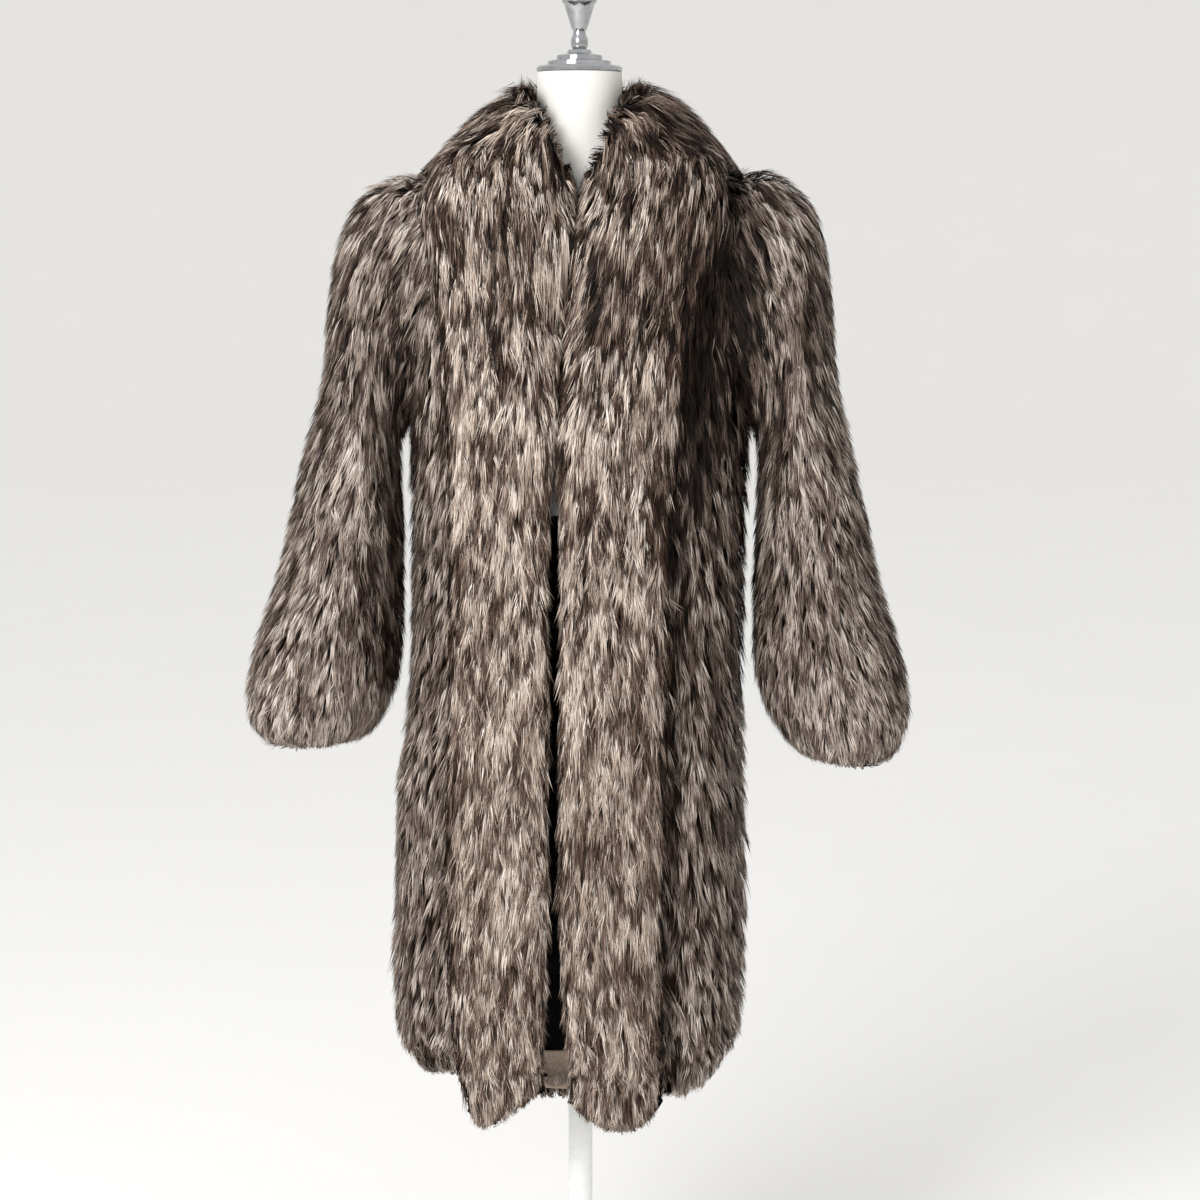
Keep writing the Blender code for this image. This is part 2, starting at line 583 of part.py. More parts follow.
def make_lining(material, facing_material):
    """The back's lining and the turned-up facing at its hem, both of which show between the fronts."""
    angle, level = back_grid()
    rounding = np.zeros(angle.size)

    def layer(name, first, last, thickness, finish_used):
        rows = slice(first, last + 1)
        high = inner_face(angle[rows], level[rows], PELT + SEAM)
        low = inner_face(angle[rows], level[rows], PELT + SEAM + thickness)
        cells = grid_cells(*angle[rows].shape)
        return wall(name, low, high, cells, rounding[: angle[rows].size], finish_used)

    return [
        layer("back_hem_facing", 0, 2, FACING, facing_material),
        layer("back_lining", 3, 9, LINING, material),
    ]


# ---------------------------------------------------------------- the dress form
def make_torso(material):
    """The form's torso and neck: it fills the coat's shoulders and stands clear of it below them."""
    angle, level = ring_grid()
    angle, level = angle[FORM_START_ROW:], level[FORM_START_ROW:]
    rings = inner_face(angle, level, PELT + np.array(FORM_INSETS)[:, None, None])[1:]
    middle = rings[0].mean(0)
    foot = []
    for share, height in FORM_FOOT:
        ring = middle + (rings[0] - middle) * share
        ring[:, 2] = height
        foot.append(ring)
    turn, top, neck = angle[-1], rings[-1], []
    x, y = NECK_RADIUS * np.sin(turn), NECK_CENTRE_Y - NECK_RADIUS * np.cos(turn)
    goal = np.stack([x, y, np.full_like(x, NECK_FOOT)], -1)
    for inwards, upwards in NECK_ROWS:
        neck.append(top + (goal - top) * np.array([inwards, inwards, upwards]))
    neck.append(np.stack([x, y, np.full_like(x, NECK_TOP)], -1))
    return filled("form_torso", np.concatenate([foot, rings, neck]), material)


def make_pole(material):
    """The pole from the foot's hub to the torso's underside."""
    bottom, top = HUB_TOP + SEAM, FORM_BOTTOM - SEAM
    profile = ((0.0, bottom), (POLE_RADIUS, bottom), (POLE_RADIUS, top), (0.0, top))
    return turned("form_pole", profile, 20, material)


# ---------------------------------------------------------------- build
def main():
    """Clears the scene and builds the coat on its form."""
    for old in list(bpy.data.objects):
        bpy.data.objects.remove(old)
    fur = finish_of("silver_fur", (0.18, 0.14, 0.12), 0.75)
    collar_fur = finish_of("collar_fur", (0.21, 0.16, 0.13), 0.75)
    satin = finish_of("dark_lining", (0.01, 0.01, 0.012), 0.45)
    tan = finish_of("hem_facing", (0.30, 0.23, 0.17), 0.70)
    shell = finish_of("white_form", (0.85, 0.84, 0.82), 0.55)
    chrome = finish_of("chrome", (0.75, 0.75, 0.76), 0.12, 1.0)
    enamel = finish_of("white_enamel", (0.85, 0.85, 0.84), 0.35)

    coat = bpy.data.objects.new("coat", None)
    stand = bpy.data.objects.new("dress_form", None)
    for empty in (coat, stand):
        bpy.context.scene.collection.objects.link(empty)

    back = make_back(fur)
    fronts = {side: make_front(side, fur) for side in ("left", "right")}
    cloth = [back, *fronts.values(), *make_lining(satin, tan)]
    hollow = filled("coat_hollow", inner_face(*ring_grid()), satin)
    for side in ("left", "right"):
        cloth.append(make_collar(side, collar_fur))
        sleeve, armhole = make_sleeve(side, fur)
        cut(sleeve, hollow)
        cut(fronts[side], armhole)
        cut(back, armhole)
        cloth.append(sleeve)
    for piece in cloth:
        piece.parent = coat

    form = [
        make_torso(shell),
        turned("neck_cap", CAP_PROFILE, 32, chrome),
        turned("finial", FINIAL_PROFILE, 20, chrome),
        make_pole(enamel),
        turned("foot", FOOT_PROFILE, 40, enamel),
    ]
    for piece in form:
        piece.parent = stand


main()
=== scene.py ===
"""Looks of a long silver fur coat that hangs open on a white dress form.

The coat is built the way a furrier makes it: thin pelts cut to the panels' shape, and on
them the pile, as many small tapered locks of hair that leave the skin, lean the way the
fur was combed and end on the coat's outer surface. Metres, +Z up, the coat faces -Y.
"""

import logging
import math
from collections.abc import Callable
from dataclasses import dataclass, field, replace
from enum import Enum

import bpy
import numpy as np
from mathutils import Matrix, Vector


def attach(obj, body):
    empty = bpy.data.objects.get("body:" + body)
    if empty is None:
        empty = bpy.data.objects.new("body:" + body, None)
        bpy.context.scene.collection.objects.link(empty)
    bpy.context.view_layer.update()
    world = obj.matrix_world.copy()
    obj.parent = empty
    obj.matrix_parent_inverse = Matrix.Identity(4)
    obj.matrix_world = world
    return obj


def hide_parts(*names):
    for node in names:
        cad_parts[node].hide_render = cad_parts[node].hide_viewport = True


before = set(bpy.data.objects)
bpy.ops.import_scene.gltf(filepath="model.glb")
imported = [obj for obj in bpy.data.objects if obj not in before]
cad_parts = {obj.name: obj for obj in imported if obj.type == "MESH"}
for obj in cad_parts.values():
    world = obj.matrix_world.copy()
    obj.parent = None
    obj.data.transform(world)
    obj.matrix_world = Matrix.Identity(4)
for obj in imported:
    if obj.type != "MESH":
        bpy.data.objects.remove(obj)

Array = np.ndarray
LOG = logging.getLogger("fur_coat")
MM = 0.001
WALL = 24 * MM  # skin and pile of the body and sleeves
HEM_ROUND = 10 * MM
EDGE_GAP = 0.6 * MM
SKIN_THICKNESS = 1.8 * MM


class Side(Enum):
    """The wearer's sides; the value is the sign of X there."""

    LEFT = 1
    RIGHT = -1

    @property
    def word(self) -> str:
        """The side's name in lower case."""
        return self.name.lower()


@dataclass(frozen=True)
class Table:
    """Rows of sizes under named columns. The first column rises from row to row."""

    columns: tuple[str, ...]
    rows: tuple[tuple[float, ...], ...]

    def column(self, name: str) -> Array:
        """One named column as an array."""
        return np.array([row[self.columns.index(name)] for row in self.rows], float)

    def read(self, name: str, at: Array) -> Array:
        """A column's values at any places, on a cubic curve whose slopes never overshoot.

        Args:
            name: the column to read.
            at: places along the first column.

        Returns:
            Values, in the shape of at.
        """
        known_at, known = self.column(self.columns[0]), self.column(name)
        step = np.diff(known_at)
        slope = np.diff(known) / step
        turn = slope[:-1] * slope[1:] > 0
        total = np.where(turn, slope[:-1] + slope[1:], 1)
        inner = np.where(turn, 2 * slope[:-1] * slope[1:] / total, 0)
        tangent = np.concatenate([slope[:1], inner, slope[-1:]])
        at = np.clip(at, known_at[0], known_at[-1])
        i = np.clip(np.searchsorted(known_at, at, side="right") - 1, 0, len(step) - 1)
        t = (at - known_at[i]) / step[i]
        rise = (3 - 2 * t) * t * t
        bend = step[i] * (t * (1 - t) ** 2 * tangent[i] - t * t * (1 - t) * tangent[i + 1])
        return known[i] + (known[i + 1] - known[i]) * rise + bend


BODY = Table(
    ("level", "front_z", "back_z", "dip_reach", "half_width", "front", "back", "centre_x", "power"),
    (
        (0.3800, 0.384, 0.302, 0.150, 0.1740, 0.116, 0.122, -0.011, 2.3),
        (0.4000, 0.404, 0.326, 0.150, 0.1890, 0.126, 0.133, -0.012, 2.3),
        (0.4200, 0.424, 0.352, 0.150, 0.1960, 0.131, 0.139, -0.012, 2.3),
        (0.5000, 0.503, 0.455, 0.150, 0.2000, 0.136, 0.145, -0.012, 2.3),
        (0.6200, 0.620, 0.600, 0.150, 0.1975, 0.134, 0.143, -0.009, 2.3),
        (0.7200, 0.720, 0.712, 0.150, 0.1950, 0.130, 0.138, -0.009, 2.3),
        (0.8000, 0.800, 0.798, 0.150, 0.1870, 0.127, 0.132, -0.004, 2.3),
        (0.9000, 0.900, 0.900, 0.150, 0.1860, 0.125, 0.127, -0.002, 2.3),
        (1.0000, 1.000, 1.000, 0.150, 0.1860, 0.125, 0.125, -0.001, 2.3),
        (1.1000, 1.100, 1.100, 0.150, 0.1890, 0.125, 0.128, 0.000, 2.3),
        (1.2000, 1.195, 1.200, 0.150, 0.1940, 0.120, 0.130, 0.000, 2.3),
        (1.2800, 1.262, 1.282, 0.140, 0.1970, 0.112, 0.126, 0.000, 2.3),
        (1.3300, 1.290, 1.336, 0.120, 0.1940, 0.107, 0.116, 0.000, 2.3),
        (1.3530, 1.303, 1.360, 0.100, 0.1800, 0.103, 0.107, 0.000, 2.3),
        (1.3720, 1.312, 1.378, 0.084, 0.1480, 0.098, 0.096, 0.000, 2.2),
        (1.3900, 1.320, 1.392, 0.068, 0.1080, 0.089, 0.083, 0.000, 2.1),
        (1.4030, 1.327, 1.402, 0.056, 0.0700, 0.080, 0.070, 0.000, 2.0),
    ),
)
DIP_SOFTNESS = 0.25
NEAR = 1e-3  # the step over which slopes are taken
LEVELS = np.array(
    (
        0.380, 0.400, 0.420, 0.490, 0.600, 0.700, 0.800, 0.900, 1.000, 1.090, 1.160, 1.220,
        1.275, 1.320, 1.346, 1.364, 1.380, 1.392, 1.403,
    )
)
COLLAR_ROW = 15
BACK_DROP = np.array((0.0,) * 11 + (0.000, 0.012, 0.030, 0.046, 0.040, 0.026, 0.012, 0.000))
FRONT = Table(
    ("level", "right_edge", "right_band", "left_edge", "left_band"),
    (
        (0.380, -0.046, -0.114, -0.004, 0.084),
        (0.450, -0.046, -0.128, -0.006, 0.082),
        (0.550, -0.041, -0.132, -0.015, 0.080),
        (0.700, -0.041, -0.132, -0.014, 0.084),
        (0.800, -0.040, -0.130, -0.013, 0.086),
        (0.950, -0.042, -0.128, -0.011, 0.087),
        (1.050, -0.035, -0.128, -0.014, 0.094),
        (1.120, -0.026, -0.130, -0.015, 0.101),
        (1.200, -0.020, -0.135, -0.011, 0.112),
        (1.280, -0.015, -0.146, -0.007, 0.130),
        (1.330, -0.010, -0.155, -0.003, 0.146),
        (1.353, -0.007, -0.154, 0.000, 0.150),
        (1.364, -0.006, -0.148, 0.001, 0.147),
        (1.380, -0.005, -0.122, 0.002, 0.122),
        (1.403, -0.004, -0.062, 0.004, 0.062),
    ),
)
BAND_SHARES = np.array((0.0, 0.16, 0.40, 0.66, 0.88, 1.0))
SIDE_SHARES = np.array((0.10, 0.28, 0.60, 1.0))
BAND_COLUMNS, HALF_BACK = len(BAND_SHARES), 8
FOLDS = Table(
    ("angle", "width", "depth", "low", "high"),
    (
        (-74, 9, -0.005, 0.38, 0.95),
        (-52, 7, 0.010, 0.38, 1.10),
        (33, 6, 0.012, 0.38, 1.16),
        (58, 8, 0.006, 0.38, 0.95),
        (108, 9, 0.006, 0.38, 0.98),
        (133, 11, 0.008, 0.38, 1.14),
        (158, 12, -0.006, 0.38, 1.08),
        (181, 10, 0.007, 0.38, 1.18),
        (207, 12, -0.005, 0.38, 1.04),
        (231, 10, 0.008, 0.38, 1.10),
        (254, 9, 0.005, 0.38, 0.94),
    ),
)
BAND = Table(
    ("level", "edge", "middle", "outer"),
    (
        (0.380, 0.013, 0.018, 0.013),
        (0.500, 0.015, 0.021, 0.015),
        (1.000, 0.015, 0.021, 0.016),
        (1.200, 0.017, 0.024, 0.018),
        (1.300, 0.020, 0.028, 0.019),
        (1.364, 0.024, 0.034, 0.012),
    ),
)
COLLAR = Table(
    ("level", "throat", "left_shoulder", "right_shoulder", "nape", "lean"),
    (
        (1.364, 0.022, 0.006, 0.004, 0.020, 0.000),
        (1.380, 0.032, 0.034, 0.024, 0.036, 0.002),
        (1.392, 0.040, 0.052, 0.042, 0.048, 0.006),
        (1.403, 0.044, 0.060, 0.056, 0.056, 0.014),
    ),
)
COLLAR_RISE = 1.2
NECK_CENTRE = np.array((0.0, -0.004, 0.0))
HEM_DROP = {
    Side.RIGHT: (0.000, 0.008, 0.020, 0.030, 0.034, 0.026, 0.004, 0.000, 0.000, 0.000),
    Side.LEFT: (0.014, 0.028, 0.036, 0.034, 0.028, 0.022, 0.020, 0.018, 0.010, 0.000),
}
HEM_DROP_SHARES = (1.0, 0.6, 0.3)
SLEEVE_COLUMNS = ("row", "out_x", "out_z", "in_x", "in_z", "half_depth", "centre_y")
SLEEVES = {
    Side.RIGHT: Table(
        SLEEVE_COLUMNS,
        (
            (0, 0.110, 1.340, 0.098, 1.150, 0.074, 0.004),
            (1, 0.150, 1.348, 0.128, 1.130, 0.078, 0.004),
            (2, 0.186, 1.364, 0.158, 1.110, 0.080, 0.003),
            (3, 0.216, 1.357, 0.180, 1.092, 0.081, 0.002),
            (4, 0.240, 1.338, 0.192, 1.075, 0.081, 0.001),
            (5, 0.257, 1.306, 0.194, 1.056, 0.081, 0.000),
            (6, 0.269, 1.258, 0.193, 1.034, 0.080, -0.001),
            (7, 0.276, 1.200, 0.192, 1.008, 0.079, -0.003),
            (8, 0.281, 1.140, 0.191, 0.978, 0.078, -0.005),
            (9, 0.301, 1.070, 0.1905, 0.944, 0.078, -0.008),
            (10, 0.317, 1.000, 0.1905, 0.908, 0.078, -0.011),
            (11, 0.333, 0.930, 0.1910, 0.872, 0.079, -0.014),
            (12, 0.354, 0.868, 0.1930, 0.838, 0.080, -0.017),
            (13, 0.367, 0.812, 0.200, 0.806, 0.080, -0.019),
            (14, 0.366, 0.778, 0.210, 0.780, 0.077, -0.020),
            (15, 0.356, 0.756, 0.226, 0.758, 0.070, -0.020),
        ),
    ),
    Side.LEFT: Table(
        SLEEVE_COLUMNS,
        (
            (0, 0.110, 1.340, 0.098, 1.150, 0.074, 0.004),
            (1, 0.150, 1.348, 0.128, 1.130, 0.078, 0.004),
            (2, 0.186, 1.370, 0.158, 1.110, 0.080, 0.003),
            (3, 0.216, 1.365, 0.180, 1.092, 0.081, 0.002),
            (4, 0.240, 1.348, 0.191, 1.075, 0.081, 0.001),
            (5, 0.259, 1.320, 0.193, 1.056, 0.081, 0.000),
            (6, 0.270, 1.270, 0.192, 1.034, 0.080, -0.001),
            (7, 0.276, 1.208, 0.1910, 1.008, 0.079, -0.003),
            (8, 0.282, 1.140, 0.1900, 0.978, 0.078, -0.005),
            (9, 0.300, 1.062, 0.1885, 0.944, 0.078, -0.008),
            (10, 0.315, 0.990, 0.1875, 0.906, 0.078, -0.011),
            (11, 0.331, 0.920, 0.1870, 0.868, 0.079, -0.014),
            (12, 0.351, 0.858, 0.1885, 0.830, 0.080, -0.017),
            (13, 0.363, 0.800, 0.198, 0.792, 0.080, -0.019),
            (14, 0.361, 0.762, 0.214, 0.762, 0.077, -0.020),
            (15, 0.348, 0.735, 0.234, 0.738, 0.070, -0.020),
        ),
    ),
}


# ------------------------------------------------------------------ small helpers
def unit(v: Array) -> Array:
    """Vectors of length one."""
    return v / np.maximum(np.linalg.norm(v, axis=-1, keepdims=True), 1e-9)


def refine(grid: Array, times: int, axis: int) -> Array:
    """More points between a grid's rows or columns, on a Catmull-Rom curve through them.

    Args:
        grid: values with any number of trailing axes.
        times: how many steps each old one becomes.
        axis: 0 for rows, 1 for columns.

    Returns:
        The finer grid, whose every times-th row or column is an old one.
    """
    g = np.moveaxis(grid, axis, 0)
    padded = np.concatenate([2 * g[:1] - g[1:2], g, 2 * g[-1:] - g[-2:-1]])
    place = np.linspace(0, len(g) - 1, (len(g) - 1) * times + 1)
    i = np.minimum(place.astype(int), len(g) - 2)
    t = (place - i).reshape((-1,) + (1,) * (g.ndim - 1))
    a, b, c, d = (padded[i + k] for k in range(4))
    fine = b + 0.5 * t * (c - a + t * (2 * a - 5 * b + 4 * c - d + t * (3 * (b - c) + d - a)))
    return np.moveaxis(fine, 0, axis)


def patches(p: Array, size: tuple[float, float, float], seed: int) -> Array:
    """Smooth value noise from -1 to 1: random numbers on a lattice, blended with an eased trilinear rule.

    Args:
        p: points, shape (..., 3).
        size: the lattice's step along X, Y and Z.
        seed: picks the random numbers.

    Returns:
        One number a point.
    """
    q = p / np.array(size) + 4096
    i = np.floor(q).astype(np.int64)
    f = q - i
    f = f * f * (3 - 2 * f)
    total = np.zeros(p.shape[:-1])
    for corner in range(8):
        bit = np.array((corner & 1, corner >> 1 & 1, corner >> 2 & 1))
        k = i + bit
        h = k[..., 0] * 73856093 ^ k[..., 1] * 19349663 ^ k[..., 2] * 83492791 ^ seed * 2654435761
        h = (h ^ h >> 13) * 1274126177 & 0x7FFFFFFF
        h = (h ^ h >> 16) & 0xFFFF
        total += h / 32767.5 * np.prod(np.where(bit, f, 1 - f), -1)
    return total - 1


# ------------------------------------------------------------------ the body's form
def body_point(angle: Array, level: Array) -> Array:
    """A point of the coat's outer surface with no folds.

    The section at a level is an oval |x/a|^n + |y/b|^n = 1. Its height is the level itself at
    the sides, dips to front_z near the centre front and blends to back_z behind.

    Args:
        angle: 0 at the centre front, +90 degrees at the wearer's left.
        level: height at the side seams.

    Returns:
        Points, shape (..., 3).
    """
    names = ("half_width", "front", "back", "centre_x", "power", "dip_reach", "front_z", "back_z")
    sizes = (BODY.read(name, level) for name in names)
    half_width, front, back, centre, power, reach, front_z, back_z = sizes
    side, ahead = np.sin(angle), np.cos(angle)
    x = half_width * np.sign(side) * np.abs(side) ** (2 / power)
    y = -np.where(ahead > 0, front, back) * np.sign(ahead) * np.abs(ahead) ** (2 / power)
    away = (np.hypot(x / reach, DIP_SOFTNESS) - DIP_SOFTNESS) / (math.hypot(1, DIP_SOFTNESS) - DIP_SOFTNESS)
    near = np.clip(1 - away, 0, 1) ** 1.3 * (ahead > 0)
    behind = np.clip(-ahead, 0, 1) ** 1.2
    z = level + (front_z - level) * near + (back_z - level) * behind
    return np.stack(np.broadcast_arrays(x + centre, y, z), -1)


def body_normal(angle: Array, level: Array) -> Array:
    """The outward direction of that surface, from differences around and up it.

    Args:
        angle: as for body_point.
        level: height at the side seams.

    Returns:
        Unit vectors, shape (..., 3).
    """
    around = body_point(angle + NEAR, level) - body_point(angle - NEAR, level)
    low, high = np.maximum(level - NEAR, LEVELS[0]), np.minimum(level + NEAR, LEVELS[-1])
    return unit(np.cross(around, body_point(angle, high) - body_point(angle, low)))


def fold_depth(angle: Array, level: Array) -> Array:
    """How far the soft vertical folds press in: bell curves round the body that fade out upwards.

    Args:
        angle: as for body_point.
        level: height at the side seams.

    Returns:
        Depths, negative where a fold stands out.
    """
    degrees, depth = np.degrees(angle), np.zeros(np.broadcast(angle, level).shape)
    for middle, width, deepest, low, high in FOLDS.rows:
        away = (degrees - middle + 180) % 360 - 180
        fade = np.clip((high - level) / (0.45 * (high - low)), 0, 1)
        depth = depth + deepest * np.exp(-((away / width) ** 2)) * (3 - 2 * fade) * fade**2
    return depth


def outer_face(angle: Array, level: Array) -> Array:
    """The outer surface of the panels, with their folds."""
    return body_point(angle, level) - body_normal(angle, level) * fold_depth(angle, level)[..., None]


def inner_face(angle: Array, level: Array, inset: Array | float = WALL) -> Array:
    """The surface of the coat's hollow, or one that lies further in."""
    return body_point(angle, level) - body_normal(angle, level) * inset


def angle_at(x: Array, level: Array) -> Array:
    """The angle at which the front reaches a distance to the side, the oval's inverse.

    Args:
        x: distance from the middle.
        level: height at the side seams.

    Returns:
        Angles, as for body_point.
    """
    away = x - BODY.read("centre_x", level)
    share = np.clip(np.abs(away) / BODY.read("half_width", level), 0, 1)
    return np.sign(away) * np.arcsin(share ** (BODY.read("power", level) / 2))


def front_grid(side: Side, level: Array = LEVELS) -> tuple[Array, Array]:
    """Angles and levels of one front's points, columns from its edge at the opening to the side seam.

    Args:
        side: which front.
        level: the rows' levels.

    Returns:
        Both grids.
    """
    edge = angle_at(FRONT.read(f"{side.word}_edge", level), level)[:, None]
    band = angle_at(FRONT.read(f"{side.word}_band", level), level)[:, None]
    seam = side.value * math.pi / 2
    angle = np.concatenate([edge + (band - edge) * BAND_SHARES, band + (seam - band) * SIDE_SHARES], 1)
    return angle, np.broadcast_to(level[:, None], angle.shape)


def back_grid(side: Side | None = None) -> tuple[Array, Array]:
    """Angles and levels of the back's points, or of one half from its side seam to the centre.

    Args:
        side: which half, or None for the whole back.

    Returns:
        Both grids.
    """
    share = np.linspace(0, 1, 2 * HALF_BACK + 1)
    angle = math.pi / 2 + math.pi * share
    if side is not None:
        angle = side.value * angle[: HALF_BACK + 1]
    level = LEVELS[:, None] - BACK_DROP[:, None] * np.clip(-np.cos(angle), 0, 1)
    return np.broadcast_to(angle, level.shape), level


def hem_drop(face: Array, side: Side) -> Array:
    """A front's surface or its band's, with the hem let down on the lowest rows.

    Args:
        face: the surface's points, which it changes.
        side: which front.

    Returns:
        The same points.
    """
    drop = np.array(HEM_DROP[side])
    count = min(face.shape[1], len(drop))
    for row, share in enumerate(HEM_DROP_SHARES):
        face[row, :count, 2] -= share * drop[:count]
    return face


def sleeve_frame(side: Side, rows: Array) -> tuple[Array, Array, Array]:
    """Middles of the sleeve's sections, their half diameters out to the side, and their half depths.

    Args:
        side: which sleeve.
        rows: places along its table, whole or between.

    Returns:
        Points, vectors and numbers, one each a row.
    """
    table = SLEEVES[side]
    out_x, out_z, in_x, in_z, half_depth, centre_y = (table.read(name, rows) for name in SLEEVE_COLUMNS[1:])
    sign = side.value
    middle = np.stack([sign * (out_x + in_x) / 2, centre_y, (out_z + in_z) / 2], -1)
    half = np.stack([sign * (out_x - in_x) / 2, 0 * out_x, (out_z - in_z) / 2], -1)
    return middle, half, half_depth


def in_sleeve(p: Array, side: Side, scale: float) -> Array:
    """Whether points lie inside a sleeve's form: the nearest section's oval holds them.

    Args:
        p: points, shape (n, 3).
        side: which sleeve.
        scale: how much smaller than the form the oval is taken.

    Returns:
        Yes or no for each point.
    """
    rows = np.linspace(0, 15, 76)
    middle, half, depth = sleeve_frame(side, rows)
    e1, size = unit(half), np.linalg.norm(half, axis=-1)
    e3 = unit(np.cross(e1, (0, 1, 0)))
    away = p[:, None, :] - middle[None]
    near = np.argmin(np.abs((away * e3).sum(-1)), 1)
    picked = away[np.arange(len(p)), near]
    a = (picked * e1[near]).sum(-1) / size[near]
    b = picked[:, 1] / depth[near]
    return a * a + b * b < scale * scale


def in_body(p: Array, scale: float) -> Array:
    """Whether points lie inside the body's form: the oval at their height holds them.

    Args:
        p: points, shape (n, 3).
        scale: how much smaller than the form the oval is taken.

    Returns:
        Yes or no for each point.
    """
    level = np.clip(p[:, 2], LEVELS[0], LEVELS[-1])
    power = BODY.read("power", level)
    x = np.abs(p[:, 0] - BODY.read("centre_x", level)) / (BODY.read("half_width", level) * scale)
    depth = np.where(p[:, 1] < 0, BODY.read("front", level), BODY.read("back", level)) * scale
    return (x**power + (np.abs(p[:, 1]) / depth) ** power < 1) & (p[:, 2] < LEVELS[-1])


# ------------------------------------------------------------------ surfaces that carry fur
@dataclass
class FurSurface:
    """A fine grid on the reach of the fur, with how deep its skin lies and how it is combed.

    facing is 1 where the cross product of the columns' and the rows' directions points
    outwards, -1 where it points in. comb is the way the hair lies, dense how thickly it
    grows, stand how far it stands off instead of lying down, and light how pale it is.
    light holds painted shade along a band's outer rim as well as the fur's own tone. bare
    is how far its roots lie open at a rim, where they are as pale as the hair.
    """

    points: Array
    depth: Array
    facing: int = 1
    comb: Array = field(init=False)
    dense: Array = field(init=False)
    stand: Array = field(init=False)
    light: Array = field(init=False)
    bare: Array = field(init=False)
    normals: Array = field(init=False)
    across: Array = field(init=False)
    up: Array = field(init=False)

    def __post_init__(self) -> None:
        """Works out the grid's own directions and its outward normals, the cross product of the two."""
        self.across = np.gradient(self.points, axis=1)
        self.up = np.gradient(self.points, axis=0)
        self.normals = unit(np.cross(self.across, self.up)) * self.facing
        self.comb = -unit(self.up)
        self.dense = np.ones(self.points.shape[:2])
        self.stand, self.light, self.bare = (np.zeros(self.points.shape[:2]) for _ in range(3))

    @property
    def skin(self) -> Array:
        """The pelt's outer face."""
        return self.points - self.normals * self.depth[..., None]

    def look(self, values: Array, row: Array, column: Array) -> Array:
        """Values at places between the grid's points, by the bilinear rule.

        Args:
            values: one number or vector a grid point.
            row: places up the grid.
            column: places across it.

        Returns:
            The values there.
        """
        row = np.clip(row, 0, values.shape[0] - 1.001)
        column = np.clip(column, 0, values.shape[1] - 1.001)
        i, j = row.astype(int), column.astype(int)
        a, b = row - i, column - j
        if values.ndim == 3:
            a, b = a[:, None], b[:, None]
        low = values[i, j] * (1 - b) + values[i, j + 1] * b
        high = values[i + 1, j] * (1 - b) + values[i + 1, j + 1] * b
        return low * (1 - a) + high * a

    def carry(self, row: Array, column: Array) -> Array:
        """Points at places on the grid or past its rim, where the grid goes straight on.

        Args:
            row: places up the grid.
            column: places across it.

        Returns:
            Points, shape (n, 3).
        """
        over_row = row - np.clip(row, 0, self.points.shape[0] - 1.001)
        over_column = column - np.clip(column, 0, self.points.shape[1] - 1.001)
        straight = self.look(self.up, row, column) * over_row[:, None]
        straight += self.look(self.across, row, column) * over_column[:, None]
        return self.look(self.points, row, column) + straight

    def scatter(self, count: int, rng: np.random.Generator) -> tuple[Array, Array]:
        """Random places on the grid, as many to each cell as its area times its density asks.

        Args:
            count: how many.
            rng: the source of chance.

        Returns:
            Rows and columns.
        """
        area = np.linalg.norm(np.cross(self.across, self.up), axis=-1) * self.dense
        cell = (area[:-1, :-1] + area[1:, :-1] + area[:-1, 1:] + area[1:, 1:]).ravel()
        total = np.cumsum(cell)
        draw = (np.arange(count) + rng.random(count)) / count * total[-1]
        picked = np.minimum(np.searchsorted(total, draw), len(cell) - 1)
        i, j = np.divmod(picked, self.points.shape[1] - 1)
        return i + rng.random(count), j + rng.random(count)

    def steps(self, row: Array, column: Array, move: Array) -> tuple[Array, Array]:
        """How many rows and columns a move in space goes, by the least squares of the two directions.

        Args:
            row: places up the grid.
            column: places across it.
            move: vectors in space.

        Returns:
            Steps up and across the grid.
        """
        u, v = self.look(self.across, row, column), self.look(self.up, row, column)
        uu, uv, vv = (u * u).sum(-1), (u * v).sum(-1), (v * v).sum(-1)
        mu, mv = (move * u).sum(-1), (move * v).sum(-1)
        det = np.maximum(uu * vv - uv * uv, 1e-14)
        return (mv * uu - mu * uv) / det, (mu * vv - mv * uv) / det


@dataclass(frozen=True)
class Pile:
    """How a stretch of fur looks: its tufts' number and size in metres, how they lie and their shades.

    Pairs of sizes are least and most, and pairs of strays are a tuft's and one of its locks'.
    uneven is how far a lock's shade strays from its tuft's, and calm the share of the
    contrast that is left at the hem.
    """

    tufts: int
    length: tuple[float, float]
    spread: float
    width: tuple[float, float]
    shade: float
    contrast: float
    uneven: float = 0.10
    calm: float = 0.62
    hairs: int = 9
    seed: int = 1
    drift: tuple[float, float] = (0.13, 0.05)
    bend: tuple[float, float] = (0.07, 0.03)
    ruffle: tuple[float, float] = (0.16, 0.14)
    twist: float = 0.5
    loft: tuple[float, float] = (0.74, 1.04)
    fine_share: float = 0.3
    rise: float = 14 * MM


LOCK_STEPS = np.array((0.0, 0.52, 1.0))
LOCK_WIDTHS = np.array((0.7, 1.0, 0.0))
SHADE_BAND = 0.016  # how much of the shade map's width one lock spans
SHADE_ENDS = (0.03, 0.97)
ROOT_PLACE, TIP_PLACE, BARE_PLACE = 0.02, 0.98, 0.44  # along the map; a bare root starts further on


